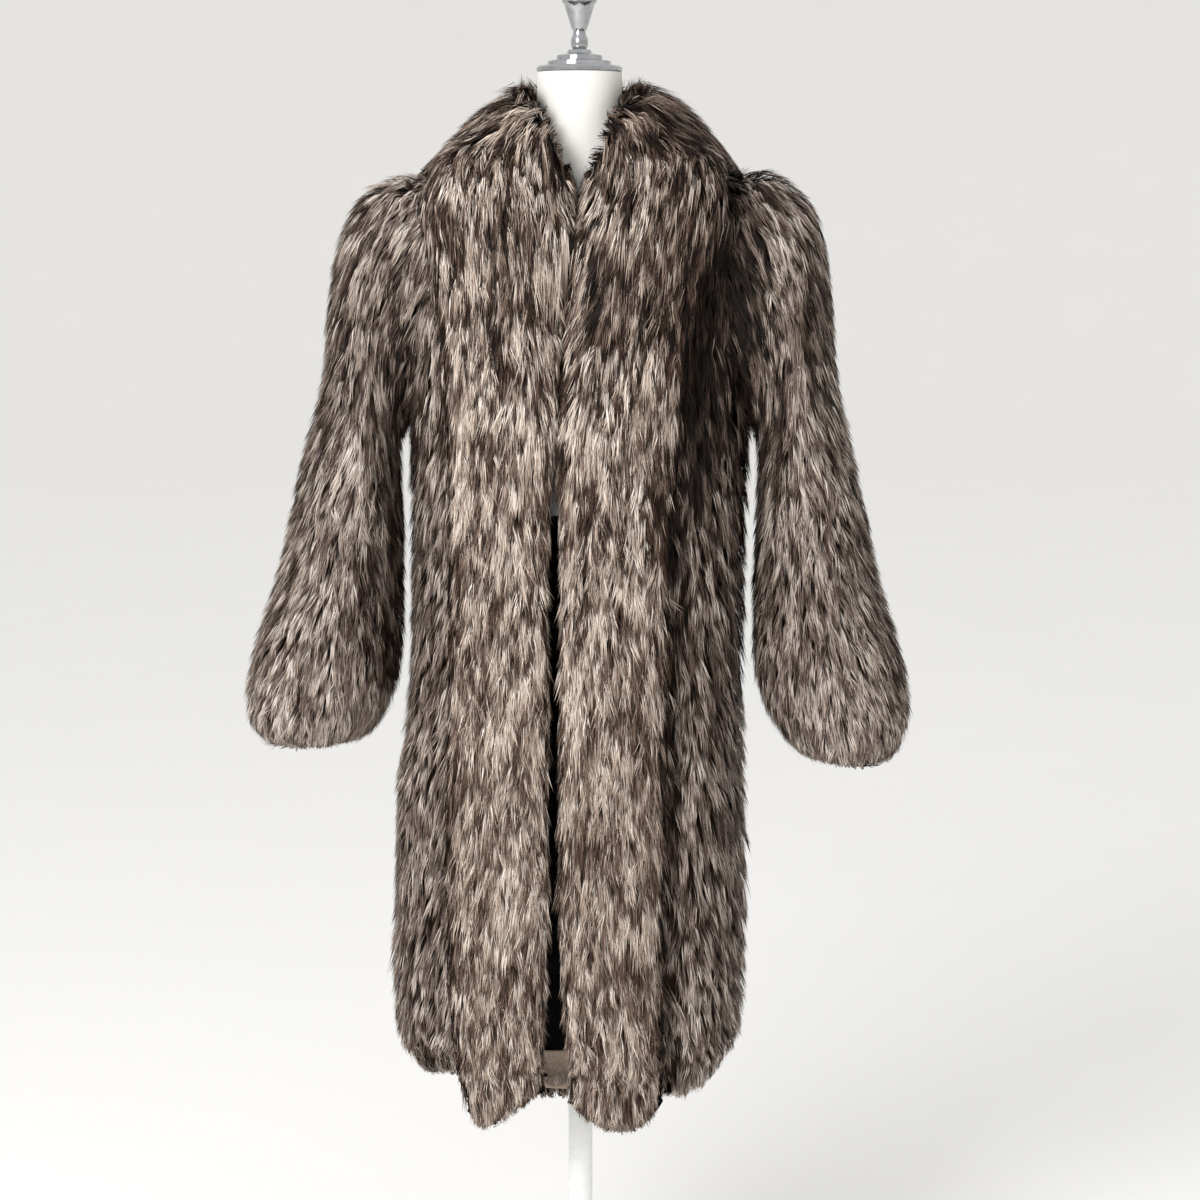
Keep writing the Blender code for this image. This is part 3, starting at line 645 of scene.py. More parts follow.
def grow(surface: FurSurface, pile: Pile, keep: Callable[[Array], Array]) -> dict[str, Array]:
    """Tufts of hair locks on a surface.

    A tuft starts on the skin and goes its length the way the fur is combed. On the way it
    rises to the fur's reach as 1 - (1 - s)^1.9, and its locks close in on its middle as
    1 - 0.8 s^1.4, so that it ends in a point. A lock is a flat ribbon that swells and then
    tapers. Noise sets a tuft's shade, so that neighbours make streaks.

    Args:
        surface: the grid it grows on.
        pile: the locks' sizes and shades.
        keep: a test of points on the fur's reach over the roots.

    Returns:
        Vertices, normals and shade map places of five points a lock.
    """
    rng = np.random.default_rng(pile.seed)
    row, column = surface.scatter(pile.tufts, rng)
    held = keep(surface.look(surface.points, row, column))
    row, column = row[held], column[held]
    root = surface.look(surface.skin, row, column)
    tone = shade_of(root, surface.look(surface.light, row, column), pile, rng)
    row, column, tone = (np.repeat(x, pile.hairs) for x in (row, column, tone))
    n = len(row)
    tone = np.clip(tone + rng.normal(0, pile.uneven, n), *SHADE_ENDS)

    tufts = n // pile.hairs

    def per_tuft(draw: Array) -> Array:
        """One random number a tuft, repeated for its locks."""
        return np.repeat(draw, pile.hairs, axis=0)

    def stray(sizes: tuple[float, float]) -> Array:
        """Chance on a bell curve, a tuft's own and one of its locks'."""
        return per_tuft(rng.normal(0, sizes[0], tufts)) + rng.normal(0, sizes[1], n)

    normal = unit(surface.look(surface.normals, row, column))
    way = surface.look(surface.comb, row, column)
    way = unit(way - normal * (way * normal).sum(-1, keepdims=True))
    side = unit(np.cross(normal, way))
    way = unit(way + side * stray(pile.drift)[:, None])
    side = unit(np.cross(normal, way))
    stand = np.clip(surface.look(surface.stand, row, column), 0, 1)
    length = per_tuft(rng.uniform(*pile.length, tufts)) * rng.uniform(0.8, 1.08, n)
    length *= 1 - 0.45 * stand
    rows, columns = surface.steps(row, column, way * length[:, None])
    away = rng.normal(0, pile.spread, (n, 2)) * (1.0, 1.6)
    loft = per_tuft(rng.uniform(*pile.loft, tufts)) * rng.uniform(0.9, 1.06, n)
    twist = rng.normal(0, pile.twist, n)[:, None]
    flat = unit(side * np.cos(twist) + normal * np.sin(twist))
    width = rng.uniform(*pile.width, n) * rng.choice((0.5, 1.0), n, p=(pile.fine_share, 1 - pile.fine_share))
    bend = stray(pile.bend) * length
    lift = 3 * MM * rng.random(n) ** 2 + stand * rng.uniform(0, pile.rise, n)
    ruffle = rng.normal(0, pile.ruffle[1], (n, 3)) + per_tuft(rng.normal(0, pile.ruffle[0], (tufts, 3)))
    start = ROOT_PLACE + BARE_PLACE * np.clip(surface.look(surface.bare, row, column), 0, 1)
    vertices, normals, places = [], [], []
    for s, wide in zip(LOCK_STEPS, LOCK_WIDTHS):
        here, there = row + rows * s, column + columns * s
        out = unit(surface.look(surface.normals, here, there))
        deep = surface.look(surface.depth, here, there)
        rise = (1 - (1 - s) ** 1.9) * loft
        near = 1 - 0.8 * s**1.4
        p = surface.carry(here, there) - out * (deep * (1 - rise) - lift * s * s)[:, None]
        p += side * (away[:, 0] * near + bend * s * s)[:, None] + way * (away[:, 1] * near)[:, None]
        lean = unit(out + ruffle)
        for edge in (-0.5, 0.5) if wide else (0.0,):
            vertices.append(p + flat * (edge * width * wide)[:, None])
            normals.append(unit(lean + flat * edge * 0.8))
            places.append(np.stack([tone + edge * SHADE_BAND, start + (TIP_PLACE - start) * s], -1))
    return {"points": np.stack(vertices, 1), "normals": np.stack(normals, 1), "uv": np.stack(places, 1)}


# Painted shade and painted highlights, with some of the fur's own tone: soft marks across and up the coat.
# They darken the hair where shade falls: in the folds, between the sleeves and the body, under the arms,
# on the sleeves' far sides, on the upper sleeves, on the chest and at the neckline. They paint highlights
# on the sleeves' heads. As the fur's own tone, they make the cuffs and lower body paler and the collar tops
# darker. Middle, half width and half height of each mark, and how far it moves the shade.
LIGHT_AND_TONE_MARKS = Table(
    ("x", "z", "wide", "tall", "light"),
    (
        (-0.300, 0.790, 0.090, 0.080, 0.20),
        (-0.215, 0.900, 0.022, 0.090, -0.28),
        (-0.240, 1.220, 0.035, 0.090, -0.16),
        (-0.182, 1.180, 0.018, 0.120, -0.30),
        (-0.172, 1.310, 0.016, 0.060, 0.16),
        (-0.085, 1.270, 0.050, 0.080, -0.16),
        (-0.080, 1.425, 0.060, 0.045, -0.20),
        (0.000, 1.350, 0.030, 0.060, -0.06),
        (0.000, 0.620, 0.120, 0.350, 0.05),
        (0.055, 1.285, 0.075, 0.080, -0.28),
        (0.080, 1.425, 0.060, 0.050, -0.32),
        (0.092, 0.640, 0.012, 0.240, -0.26),
        (0.102, 0.980, 0.014, 0.120, -0.26),
        (0.120, 1.140, 0.022, 0.100, -0.50),
        (0.150, 0.950, 0.040, 0.200, -0.10),
        (0.148, 1.270, 0.034, 0.100, -0.46),
        (0.172, 1.130, 0.020, 0.160, -0.26),
        (0.205, 1.300, 0.018, 0.060, 0.20),
        (0.240, 1.230, 0.035, 0.090, -0.26),
        (0.300, 0.790, 0.080, 0.080, 0.14),
        (0.335, 0.960, 0.020, 0.120, -0.18),
    ),
)


def painted_light_and_tone(p: Array) -> Array:
    """How far painted shade, painted highlights and the fur's own tone move the shade at points: a sum of
    bell curves across and up the coat.

    Args:
        p: points, shape (n, 3).

    Returns:
        Shifts, shape (n,).
    """
    total = np.zeros(len(p))
    for x, z, wide, tall, light in LIGHT_AND_TONE_MARKS.rows:
        total += light * np.exp(-(((p[:, 0] - x) / wide) ** 2) - ((p[:, 2] - z) / tall) ** 2)
    return total


def shade_of(root: Array, light: Array, pile: Pile, rng: np.random.Generator) -> Array:
    """Each tuft's place in the shade map, dark at 0 and cream at 1.

    Broad patches, narrow streaks and chance move it about the pile's own shade. The surface's light and
    the soft bell curves add painted shade in folds and under the arms, painted highlights on the sleeves'
    heads, and the fur's own paler and darker places. The streaks and the chance are pushed towards their
    ends, by a power of 0.7, so that few tufts are middling, and their contrast grows from the hem to the
    chest.

    Args:
        root: where the tufts stand.
        light: how much paler the surface is there.
        pile: its shades.
        rng: the source of chance.

    Returns:
        Places from 0 to 1.
    """
    broad = patches(root, (90 * MM, 90 * MM, 150 * MM), pile.seed + 1)
    streak = patches(root, (6 * MM, 6 * MM, 34 * MM), pile.seed + 2)
    chance = rng.uniform(-1, 1, len(root))
    swing = np.clip(0.9 * streak + 0.9 * chance, -1, 1)
    contrast = pile.contrast * np.interp(root[:, 2], (0.75, 1.15), (pile.calm, 1))
    swing = contrast * np.sign(swing) * np.abs(swing) ** 0.7
    # The bell curves add painted shade and painted highlights, with some of the fur's own tone.
    return np.clip(pile.shade + light + painted_light_and_tone(root) + 0.05 * broad + swing, *SHADE_ENDS)


# ------------------------------------------------------------------ meshes
def new_object(name: str, mesh: bpy.types.Mesh) -> bpy.types.Object:
    """An object at the origin that carries a finished mesh and moves with the one body.

    Args:
        name: its name.
        mesh: its mesh.

    Returns:
        The object, in the scene.
    """
    obj = bpy.data.objects.new(name, mesh)
    bpy.context.scene.collection.objects.link(obj)
    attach(obj, "root")
    return obj


def mesh_of(name: str, points: Array, faces: Array, sizes: Array) -> bpy.types.Mesh:
    """A mesh from arrays.

    Args:
        name: its name.
        points: vertices, shape (n, 3).
        faces: all faces' corners, one after another.
        sizes: the number of corners of each face.

    Returns:
        The mesh, smooth shaded.
    """
    mesh = bpy.data.meshes.new(name)
    mesh.vertices.add(len(points))
    mesh.vertices.foreach_set("co", points.astype(np.float32).ravel())
    mesh.loops.add(len(faces))
    mesh.loops.foreach_set("vertex_index", faces.astype(np.int32))
    mesh.polygons.add(len(sizes))
    mesh.polygons.foreach_set("loop_start", (np.cumsum(sizes) - sizes).astype(np.int32))
    mesh.polygons.foreach_set("use_smooth", np.ones(len(sizes), bool))
    mesh.update(calc_edges=True)
    return mesh


def lock_mesh(name: str, locks: list[dict[str, Array]], finish: bpy.types.Material) -> bpy.types.Object:
    """One object from all the locks of a piece: a quad and a pointed triangle each.

    Args:
        name: the object's name.
        locks: what grow gives, for each stretch.
        finish: the hair.

    Returns:
        The object, with its own shade map and normals.
    """
    keys = ("points", "normals", "uv")
    points, normals, places = (np.concatenate([lock[key] for lock in locks]) for key in keys)
    count = len(points)
    corners = np.array((1, 0, 2, 3, 3, 2, 4))
    faces = (np.arange(count)[:, None] * 5 + corners).ravel()
    mesh = mesh_of(name, points.reshape(-1, 3), faces, np.tile((4, 3), count))
    layer = mesh.uv_layers.new(name="OFBake")
    layer.data.foreach_set("uv", places.reshape(-1, 2)[faces].astype(np.float32).ravel())
    mesh.normals_split_custom_set_from_vertices(normals.reshape(-1, 3).astype(np.float32))
    mesh.materials.append(finish)
    return new_object(name, mesh)


def grid_faces(rows: int, columns: int) -> Array:
    """Corners of a grid's four-cornered cells, shape (rows - 1, columns - 1, 4)."""
    first = np.arange(rows - 1)[:, None] * columns + np.arange(columns - 1)[None, :]
    return np.stack([first, first + 1, first + columns + 1, first + columns], -1)


def shell(name: str, outer: Array, inner: Array, held: Array | None = None) -> bpy.types.Mesh:
    """A thin closed sheet between two grids that face the same way.

    The outer grid's cells are kept as they are, the inner one's are turned over, and each free
    edge gets a strip between the two. Faces of the inner side take the second material.

    Args:
        name: the mesh's name.
        outer: points of the outer side.
        inner: points of the inner side.
        held: which cells are there, or None for all.

    Returns:
        The mesh, with no materials yet.
    """
    rows, columns = outer.shape[:2]
    cells = grid_faces(rows, columns)
    cells = cells.reshape(-1, 4) if held is None else cells[held]
    edges = np.stack([cells, np.roll(cells, -1, 1)], -1).reshape(-1, 2)
    count = rows * columns
    code = edges[:, 0] * count + edges[:, 1]
    rim = edges[~np.isin(code, edges[:, 1] * count + edges[:, 0])]
    strips = np.stack([rim[:, 1], rim[:, 0], rim[:, 0] + count, rim[:, 1] + count], -1)
    faces = np.concatenate([cells, cells[:, ::-1] + count, strips])
    used, faces = np.unique(faces, return_inverse=True)
    points = np.concatenate([outer.reshape(-1, 3), inner.reshape(-1, 3)])[used]
    mesh = mesh_of(name, points, faces.reshape(-1), np.full(2 * len(cells) + len(strips), 4))
    if mesh_volume(mesh) < 0:
        mesh.flip_normals()
    slots = np.zeros(len(mesh.polygons), np.int32)
    slots[len(cells) : 2 * len(cells)] = 1
    mesh.polygons.foreach_set("material_index", slots)
    return mesh


def read_all(items: bpy.types.bpy_prop_collection, name: str, width: int = 1, kind: type = float) -> Array:
    """One property of all a mesh's vertices, corners or faces.

    Args:
        items: the collection.
        name: the property.
        width: how many numbers it has.
        kind: float or int.

    Returns:
        A row for each item, or one number each where width is 1.
    """
    values = np.empty(len(items) * width, kind)
    items.foreach_get(name, values)
    return values.reshape(-1, width) if width > 1 else values


def joined(name: str, meshes: list[bpy.types.Mesh]) -> bpy.types.Mesh:
    """One mesh of several with four-cornered faces, whose parts stay apart.

    Args:
        name: its name.
        meshes: the parts, which it takes away.

    Returns:
        The mesh, each face with its old material slot.
    """
    points, faces, slots, shift = [], [], [], 0
    for mesh in meshes:
        points.append(read_all(mesh.vertices, "co", 3))
        faces.append(read_all(mesh.loops, "vertex_index", kind=int) + shift)
        slots.append(read_all(mesh.polygons, "material_index", kind=int))
        shift += len(mesh.vertices)
        bpy.data.meshes.remove(mesh)
    points, faces, slots = (np.concatenate(x) for x in (points, faces, slots))
    made = mesh_of(name, points, faces, np.full(len(slots), 4))
    made.polygons.foreach_set("material_index", slots)
    return made


def mesh_volume(mesh: bpy.types.Mesh) -> float:
    """A closed mesh's volume, the sum of its faces' cones to the origin.

    Args:
        mesh: the mesh.

    Returns:
        The volume, negative if the mesh is inside out.
    """
    points = read_all(mesh.vertices, "co", 3)
    mesh.calc_loop_triangles()
    corners = read_all(mesh.loop_triangles, "vertices", 3, int)
    a, b, c = (points[corners[:, k]] for k in range(3))
    return float((a * np.cross(b, c)).sum() / 6)


def sheet_area(mesh: bpy.types.Mesh) -> float:
    """A thin closed sheet's one-sided area, half of all its faces' area."""
    return float(read_all(mesh.polygons, "area").sum() / 2)


def ringed_mesh(name: str, rings: Array) -> bpy.types.Mesh:
    """A closed solid through rings of points, with both ends closed by a fan to their middle.

    Args:
        name: the mesh's name.
        rings: points, rings by steps around.

    Returns:
        The mesh, facing outwards.
    """
    rows, steps = rings.shape[:2]
    points = np.concatenate([rings.reshape(-1, 3), rings[:1].mean(1), rings[-1:].mean(1)])
    i, j = np.arange(rows - 1)[:, None] * steps, np.arange(steps)[None, :]
    k = (j + 1) % steps
    quads = np.stack([i + j, i + k, i + k + steps, i + j + steps], -1).reshape(-1, 4)
    last, pole = (rows - 1) * steps, rows * steps
    j, k = j[0], k[0]
    first_fan = np.stack([k, j, np.full(steps, pole)], -1)
    last_fan = np.stack([last + j, last + k, np.full(steps, pole + 1)], -1)
    faces = np.concatenate([quads.ravel(), first_fan.ravel(), last_fan.ravel()])
    mesh = mesh_of(name, points, faces, np.array([4] * len(quads) + [3] * (2 * steps)))
    if mesh_volume(mesh) < 0:
        mesh.flip_normals()
    return mesh


def turned_mesh(name: str, profile: Array, steps: int) -> bpy.types.Mesh:
    """A solid of revolution about Z: the profile's radius swept round, closed at both ends.

    Args:
        name: the mesh's name.
        profile: radius and height of each corner.
        steps: steps around.

    Returns:
        The mesh.
    """
    turn = np.linspace(0, 2 * math.pi, steps, endpoint=False)
    radius, height = profile[1:-1, :1], profile[1:-1, 1:]
    rings = np.stack(np.broadcast_arrays(radius * np.cos(turn), radius * np.sin(turn), height), -1)
    return ringed_mesh(name, rings)


# ------------------------------------------------------------------ finishes
def srgb(code: str) -> tuple[float, float, float, float]:
    """A hex colour as linear red, green, blue and alpha."""
    parts = [int(code[k : k + 2], 16) / 255 for k in (1, 3, 5)]
    return (*(c / 12.92 if c <= 0.04045 else ((c + 0.055) / 1.055) ** 2.4 for c in parts), 1.0)


def node(tree: bpy.types.NodeTree, kind: str, links: dict | None = None, **settings) -> bpy.types.Node:
    """A node with its settings, and its inputs linked to sockets or set to values.

    Args:
        tree: the tree it goes into.
        kind: the node's type name.
        links: input name or number to a socket or a value.
        settings: the node's own properties.

    Returns:
        The node.
    """
    made = tree.nodes.new(kind)
    for name, value in settings.items():
        setattr(made, name, value)
    for name, value in (links or {}).items():
        if isinstance(value, bpy.types.NodeSocket):
            tree.links.new(value, made.inputs[name])
        else:
            made.inputs[name].default_value = value
    return made


def ramp(tree: bpy.types.NodeTree, factor: bpy.types.NodeSocket, stops: tuple) -> bpy.types.NodeSocket:
    """A colour ramp's output for stops of place and hex colour.

    Args:
        tree: the tree it goes into.
        factor: what it reads.
        stops: places and hex colours.

    Returns:
        The colour socket.
    """
    made = node(tree, "ShaderNodeValToRGB", {"Fac": factor})
    elements = made.color_ramp.elements
    while len(elements) < len(stops):
        elements.new(0.5)
    for element, (place, code) in zip(elements, stops):
        element.position, element.color = place, srgb(code)
    return made.outputs["Color"]


# Shades of hair across the map, and how each hair darkens to its root and its tip.
ROOT_TO_TIP = ((0.0, "#30261f"), (0.30, "#7d7069"), (0.55, "#ffffff"), (0.85, "#f4ece4"), (1.0, "#8f8178"))
BODY_SHADES = (
    (0.0, "#120c09"), (0.25, "#2a1e18"), (0.45, "#55453d"),
    (0.62, "#85776f"), (0.80, "#b9aca3"), (1.0, "#e4dad1"),
)
COLLAR_SHADES = (
    (0.0, "#120a07"), (0.25, "#2c1d15"), (0.45, "#574337"),
    (0.62, "#907d71"), (0.80, "#cfc1b5"), (1.0, "#f8ede3"),
)


@dataclass(frozen=True)
class FoxPile:
    """Silver fox guard hair: dark brown at the root, its own shade in its light band, browner tips.

    The shade runs from brown-black over taupe to cream with the first map axis, root to tip
    with the second. Hair is a rough dielectric of IOR 1.55, so the eye sees soft streaks
    that keep their colour, with only a dull shine.
    """

    name: str
    shades: tuple[tuple[float, str], ...]
    roughness: float = 0.65
    ior: float = 1.55
    gloss: float = 0.2

    def make(self) -> bpy.types.Material:
        """The hair's shade times its darkening from root to tip.

        Returns:
            The material.
        """
        made = bpy.data.materials.new(self.name)
        made.use_nodes = True
        tree = made.node_tree
        place = node(tree, "ShaderNodeUVMap", uv_map="OFBake")
        parts = node(tree, "ShaderNodeSeparateXYZ", {"Vector": place.outputs["UV"]})
        shade = ramp(tree, parts.outputs["X"], self.shades)
        along = ramp(tree, parts.outputs["Y"], ROOT_TO_TIP)
        mixed = node(tree, "ShaderNodeMix", data_type="RGBA", blend_type="MULTIPLY")
        mixed.inputs[0].default_value = 1.0
        tree.links.new(shade, mixed.inputs[6])
        tree.links.new(along, mixed.inputs[7])
        shader = tree.nodes["Principled BSDF"]
        tree.links.new(mixed.outputs[2], shader.inputs["Base Color"])
        shader.inputs["Roughness"].default_value = self.roughness
        shader.inputs["IOR"].default_value = self.ior
        shader.inputs["Specular IOR Level"].default_value = self.gloss
        return made


@dataclass(frozen=True)
class Grained:
    """A finish of two near shades that a fine grain mixes.

    Noise in the piece's own coordinates, stretched to the grain's size, blends the darker
    shade into the paler one. Where the finish has a relief, the same noise moves the
    roughness by rough_swing either way and raises that relief as a bump. A metal keeps the
    shader's own IOR.
    """

    name: str
    shades: tuple[str, str]
    roughness: float
    grain: tuple[float, float, float]
    relief: float = 0.0
    metallic: float = 0.0
    ior: float = 1.45
    sheen: float = 0.0
    gloss: float = 0.5
    rough_swing: float = 0.05

    def make(self) -> bpy.types.Material:
        """The shader with its constants, its grain and its relief.

        Returns:
            The material.
        """
        made = bpy.data.materials.new(self.name)
        made.use_nodes = True
        tree = made.node_tree
        shader = tree.nodes["Principled BSDF"]
        place = node(tree, "ShaderNodeTexCoord").outputs["Object"]
        scale = tuple(1 / size for size in self.grain)
        spread = node(tree, "ShaderNodeMapping", {"Vector": place, "Scale": scale}).outputs["Vector"]
        grain = {"Vector": spread, "Scale": 1.0, "Detail": 3.0}
        noise = node(tree, "ShaderNodeTexNoise", grain).outputs["Fac"]
        colour = ramp(tree, noise, ((0.32, self.shades[0]), (0.68, self.shades[1])))
        tree.links.new(colour, shader.inputs["Base Color"])
        shader.inputs["Roughness"].default_value = self.roughness
        shader.inputs["Metallic"].default_value = self.metallic
        shader.inputs["Sheen Weight"].default_value = self.sheen
        shader.inputs["Specular IOR Level"].default_value = self.gloss
        if not self.metallic:
            shader.inputs["IOR"].default_value = self.ior
        if self.relief:
            ends = {"To Min": self.roughness - self.rough_swing, "To Max": self.roughness + self.rough_swing}
            span = {"Value": noise, "From Min": 0.3, "From Max": 0.7, **ends}
            rough = node(tree, "ShaderNodeMapRange", span)
            bump = node(tree, "ShaderNodeBump", {"Height": noise, "Distance": self.relief, "Strength": 0.6})
            tree.links.new(rough.outputs["Result"], shader.inputs["Roughness"])
            tree.links.new(bump.outputs["Normal"], shader.inputs["Normal"])
        return made


@dataclass
class Finishes:
    """Every material of the coat and its stand, made once."""

    body_pile: bpy.types.Material
    collar_pile: bpy.types.Material
    underfur: bpy.types.Material
    lining: bpy.types.Material
    facing: bpy.types.Material
    jersey: bpy.types.Material
    chrome: bpy.types.Material
    enamel: bpy.types.Material

    @classmethod
    def make(cls) -> "Finishes":
        """Every finish made once. Sizes of grain are in millimetres of the real surface.

        Returns:
            All of them.
        """
        return cls(
            body_pile=FoxPile("silver fox hair", BODY_SHADES).make(),
            collar_pile=FoxPile("silver fox collar hair", COLLAR_SHADES).make(),
            # Matted wool under the guard hair, so dull that the gaps between locks read as depth.
            underfur=Grained(
                "dark underfur", ("#271c16", "#372920"), 0.95, grain=(3 * MM, 3 * MM, 9 * MM), gloss=0.1
            ).make(),
            # Black satin, its warp drawn out downwards: the open front looks in on darkness.
            lining=Grained(
                "black satin lining", ("#030304", "#080709"), 0.6, grain=(0.5 * MM, 0.5 * MM, 24 * MM),
                relief=0.1 * MM, ior=1.5, gloss=0.05,
            ).make(),
            # Brushed cloth with a short vertical nap, warm against the black.
            facing=Grained(
                "brushed beige facing", ("#a8937f", "#c8b6a5"), 0.85, grain=(1.2 * MM, 1.2 * MM, 6 * MM),
                relief=0.3 * MM, sheen=0.1, gloss=0.3,
            ).make(),
            # Knit as fine as a stocking's, drawn at twice its real stitch so that it shows at
            # all: matt white, hardly patterned.
            jersey=Grained(
                "white stretch jersey", ("#dfdcd7", "#e9e6e2"), 0.75, grain=(0.8 * MM, 0.8 * MM, 1.1 * MM),
                relief=0.05 * MM,
            ).make(),
            # Plated metal that mirrors the room, slightly clouded by handling.
            chrome=Grained(
                "polished chrome", ("#a3a4a7", "#b6b7b9"), 0.12, grain=(9 * MM, 9 * MM, 9 * MM), metallic=1.0
            ).make(),
            # Stove enamel with the faint ripple of a thick coat.
            enamel=Grained(
                "white enamel", ("#e9e9e7", "#efefed"), 0.28, grain=(16 * MM, 16 * MM, 16 * MM),
                relief=0.005 * MM, ior=1.5,
            ).make(),
        )


# ------------------------------------------------------------------ the coat's pieces
FINE = 4  # fine rows and columns for each of the form's own
EDGE_ROUND = 7 * MM
COLLAR_ROUND = 9 * MM
COLLAR_FOOT = 2 * MM
SEAM = 0.3 * MM
RIM_STEPS = 2  # rows or columns that a turned rim adds
THIN_SKIN, THICK_SKIN, RIM_SKIN = 1 * MM, 20 * MM, 8 * MM
# How far into a neighbour's form fur and skin still reach, as a share of that form's size.
FUR_IN_SLEEVE, SKIN_IN_SLEEVE = 0.75, 0.72
FUR_IN_BODY, SKIN_IN_BODY = 0.70, 0.80


class Rim(Enum):
    """The rims of a panel's grid; the value is the axis across the rim and whether it is the last."""

    HEM = (0, False)
    TOP = (0, True)
    EDGE = (1, False)
    OUTER = (1, True)


def edge_rounding(most: float) -> Array:
    """How far a front edge rounds out at each level, so that the two sides stay apart."""
    left, right = FRONT.read("left_edge", LEVELS), FRONT.read("right_edge", LEVELS)
    return np.minimum(most, (left - right) / 2 - EDGE_GAP)


def with_rim(
    low: Array, high: Array, depth: Array, rim: Rim, rounding: Array | float
) -> tuple[Array, Array, Array]:
    """Both faces and the depths with one rim turned over: two rows or columns more.

    The rim's middle lies halfway between the two faces and bulges out, away from the panel.

    Args:
        low: the inner face.
        high: the outer face, whose rim is carried on over its middle to the inner face.
        depth: the skin's depth under high.
        rim: which rim it is.
        rounding: how far the rim bulges, one number or one for each of its points.

    Returns:
        The two faces and the depths, two rows or columns larger.
    """
    axis, last = rim.value
    low, high, depth = (np.moveaxis(x, axis, 0) for x in (low, high, depth))
    if last:
        low, high, depth = low[::-1], high[::-1], depth[::-1]
    push = high[0] - high[1] + low[0] - low[1]
    middle = (low[0] + high[0]) / 2 + unit(push) * np.reshape(rounding, (-1, 1))
    high = np.concatenate([low[None, 0], middle[None], high])
    low = np.concatenate([low[None, 0], low[None, 0], low])
    thin = np.minimum(depth[0], RIM_SKIN)
    depth = np.concatenate([0.5 * thin[None], thin[None], depth])
    if last:
        low, high, depth = low[::-1], high[::-1], depth[::-1]
    return tuple(np.moveaxis(x, 0, axis) for x in (low, high, depth))


def fine_surface(points: Array, depth: Array, facing: int) -> FurSurface:
    """The surface of a coarse grid, with FINE rows and columns for each of its own.

    Args:
        points: the fur's reach, rows by columns.
        depth: the skin's depth under each point.
        facing: the side that the grid's own normals point to.

    Returns:
        The finer surface.
    """
    points = refine(refine(points, FINE, 0), FINE, 1)
    depth = refine(refine(depth, FINE, 0), FINE, 1)
    return FurSurface(points, np.clip(depth, THIN_SKIN, THICK_SKIN), facing)


def coarse_places(surface: FurSurface) -> tuple[Array, Array]:
    """Row and column of each fine point, counted in coarse rows and columns."""
    rows, columns = surface.points.shape[:2]
    return np.arange(rows)[:, None] / FINE, np.arange(columns)[None, :] / FINE


def eased(value: Array, start: float, span: float) -> Array:
    """A straight rise from 0 at start to 1 a span further on, level before and after."""
    return np.clip((value - start) / span, 0, 1)


@dataclass
class FurPiece:
    """One panel of the coat: a pelt cut to shape, and the fur on it."""

    finishes: Finishes
    pile: Pile
    name: str
    flat: tuple[float, float]
    side: Side = Side.LEFT
    skin_depth: float = 17 * MM
    rests_on: tuple[str, ...] = ("form_torso",)
    slot: str = "silver_fur"

    def surfaces(self) -> list[FurSurface]:
        """The reach of its fur, one grid for each stretch of pelt."""
        raise NotImplementedError

    def piles(self) -> list[Pile]:
        """The fur of each stretch."""
        return [self.pile]

    def keep(self, points: Array) -> Array:
        """Which roots' reach points lie in the open, outside the other panels."""
        return np.ones(len(points), bool)

    def hidden(self, points: Array) -> Array:
        """Which points of the pelt lie inside another panel, where it is cut away."""
        return np.zeros(len(points), bool)

    @property
    def hair_finish(self) -> bpy.types.Material:
        """The material of its fur."""
        return self.finishes.body_pile

    def pelt(self, surface: FurSurface) -> bpy.types.Mesh:
        """One stretch of pelt, on every other row and column of the fur's grid.

        A cell is left out where all four of its corners are hidden.

        Args:
            surface: the reach of the stretch's fur.

        Returns:
            A thin closed sheet under the fur, with no materials yet.
        """
        skin, normals = surface.skin[::2, ::2], surface.normals[::2, ::2]
        out = self.hidden(skin.reshape(-1, 3)).reshape(skin.shape[:2])
        held = ~(out[:-1, :-1] & out[1:, :-1] & out[:-1, 1:] & out[1:, 1:])
        return shell(f"{self.name}_stretch", skin, skin - normals * SKIN_THICKNESS, held)

    def build(self) -> None:
        """Makes the pelt and the fur, and hides the CAD node they stand for."""
        surfaces = self.surfaces()
        locks = [grow(surface, pile, self.keep) for surface, pile in zip(surfaces, self.piles())]
        fur = lock_mesh(f"{self.name}_fur", locks, self.hair_finish)
        mesh = joined(f"{self.name}_pelt", [self.pelt(surface) for surface in surfaces])
        for finish in (self.finishes.underfur, self.finishes.lining):
            mesh.materials.append(finish)
        pelt = new_object(f"{self.name}_pelt", mesh)
        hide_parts(self.name)
        LOG.info("%s: %d locks, pelt %.3f m2", self.name, len(fur.data.polygons) // 2, sheet_area(mesh))


@dataclass
class Back(FurPiece):
    """The back panel, from side seam to side seam and from its hem up to the collar."""

    hem_stand: float = 0.35

    def surfaces(self) -> list[FurSurface]:
        """The outer face with its hem turned over; no fur grows under the collar.

        Returns:
            One surface.
        """
        angle, level = back_grid()
        low, high = inner_face(angle, level), outer_face(angle, level)
        low, high, depth = with_rim(low, high, np.full(angle.shape, self.skin_depth), Rim.HEM, HEM_ROUND)
        made = fine_surface(high, depth, 1)
        row, _ = coarse_places(made)
        made.dense *= row < COLLAR_ROW + RIM_STEPS + 0.7
        made.stand += self.hem_stand * (row < RIM_STEPS)
        return [made]

    def keep(self, points: Array) -> Array:
        """Outside both sleeves."""
        return ~(in_sleeve(points, Side.LEFT, FUR_IN_SLEEVE) | in_sleeve(points, Side.RIGHT, FUR_IN_SLEEVE))

    def hidden(self, points: Array) -> Array:
        """Well inside a sleeve's head."""
        return in_sleeve(points, Side.LEFT, SKIN_IN_SLEEVE) | in_sleeve(points, Side.RIGHT, SKIN_IN_SLEEVE)


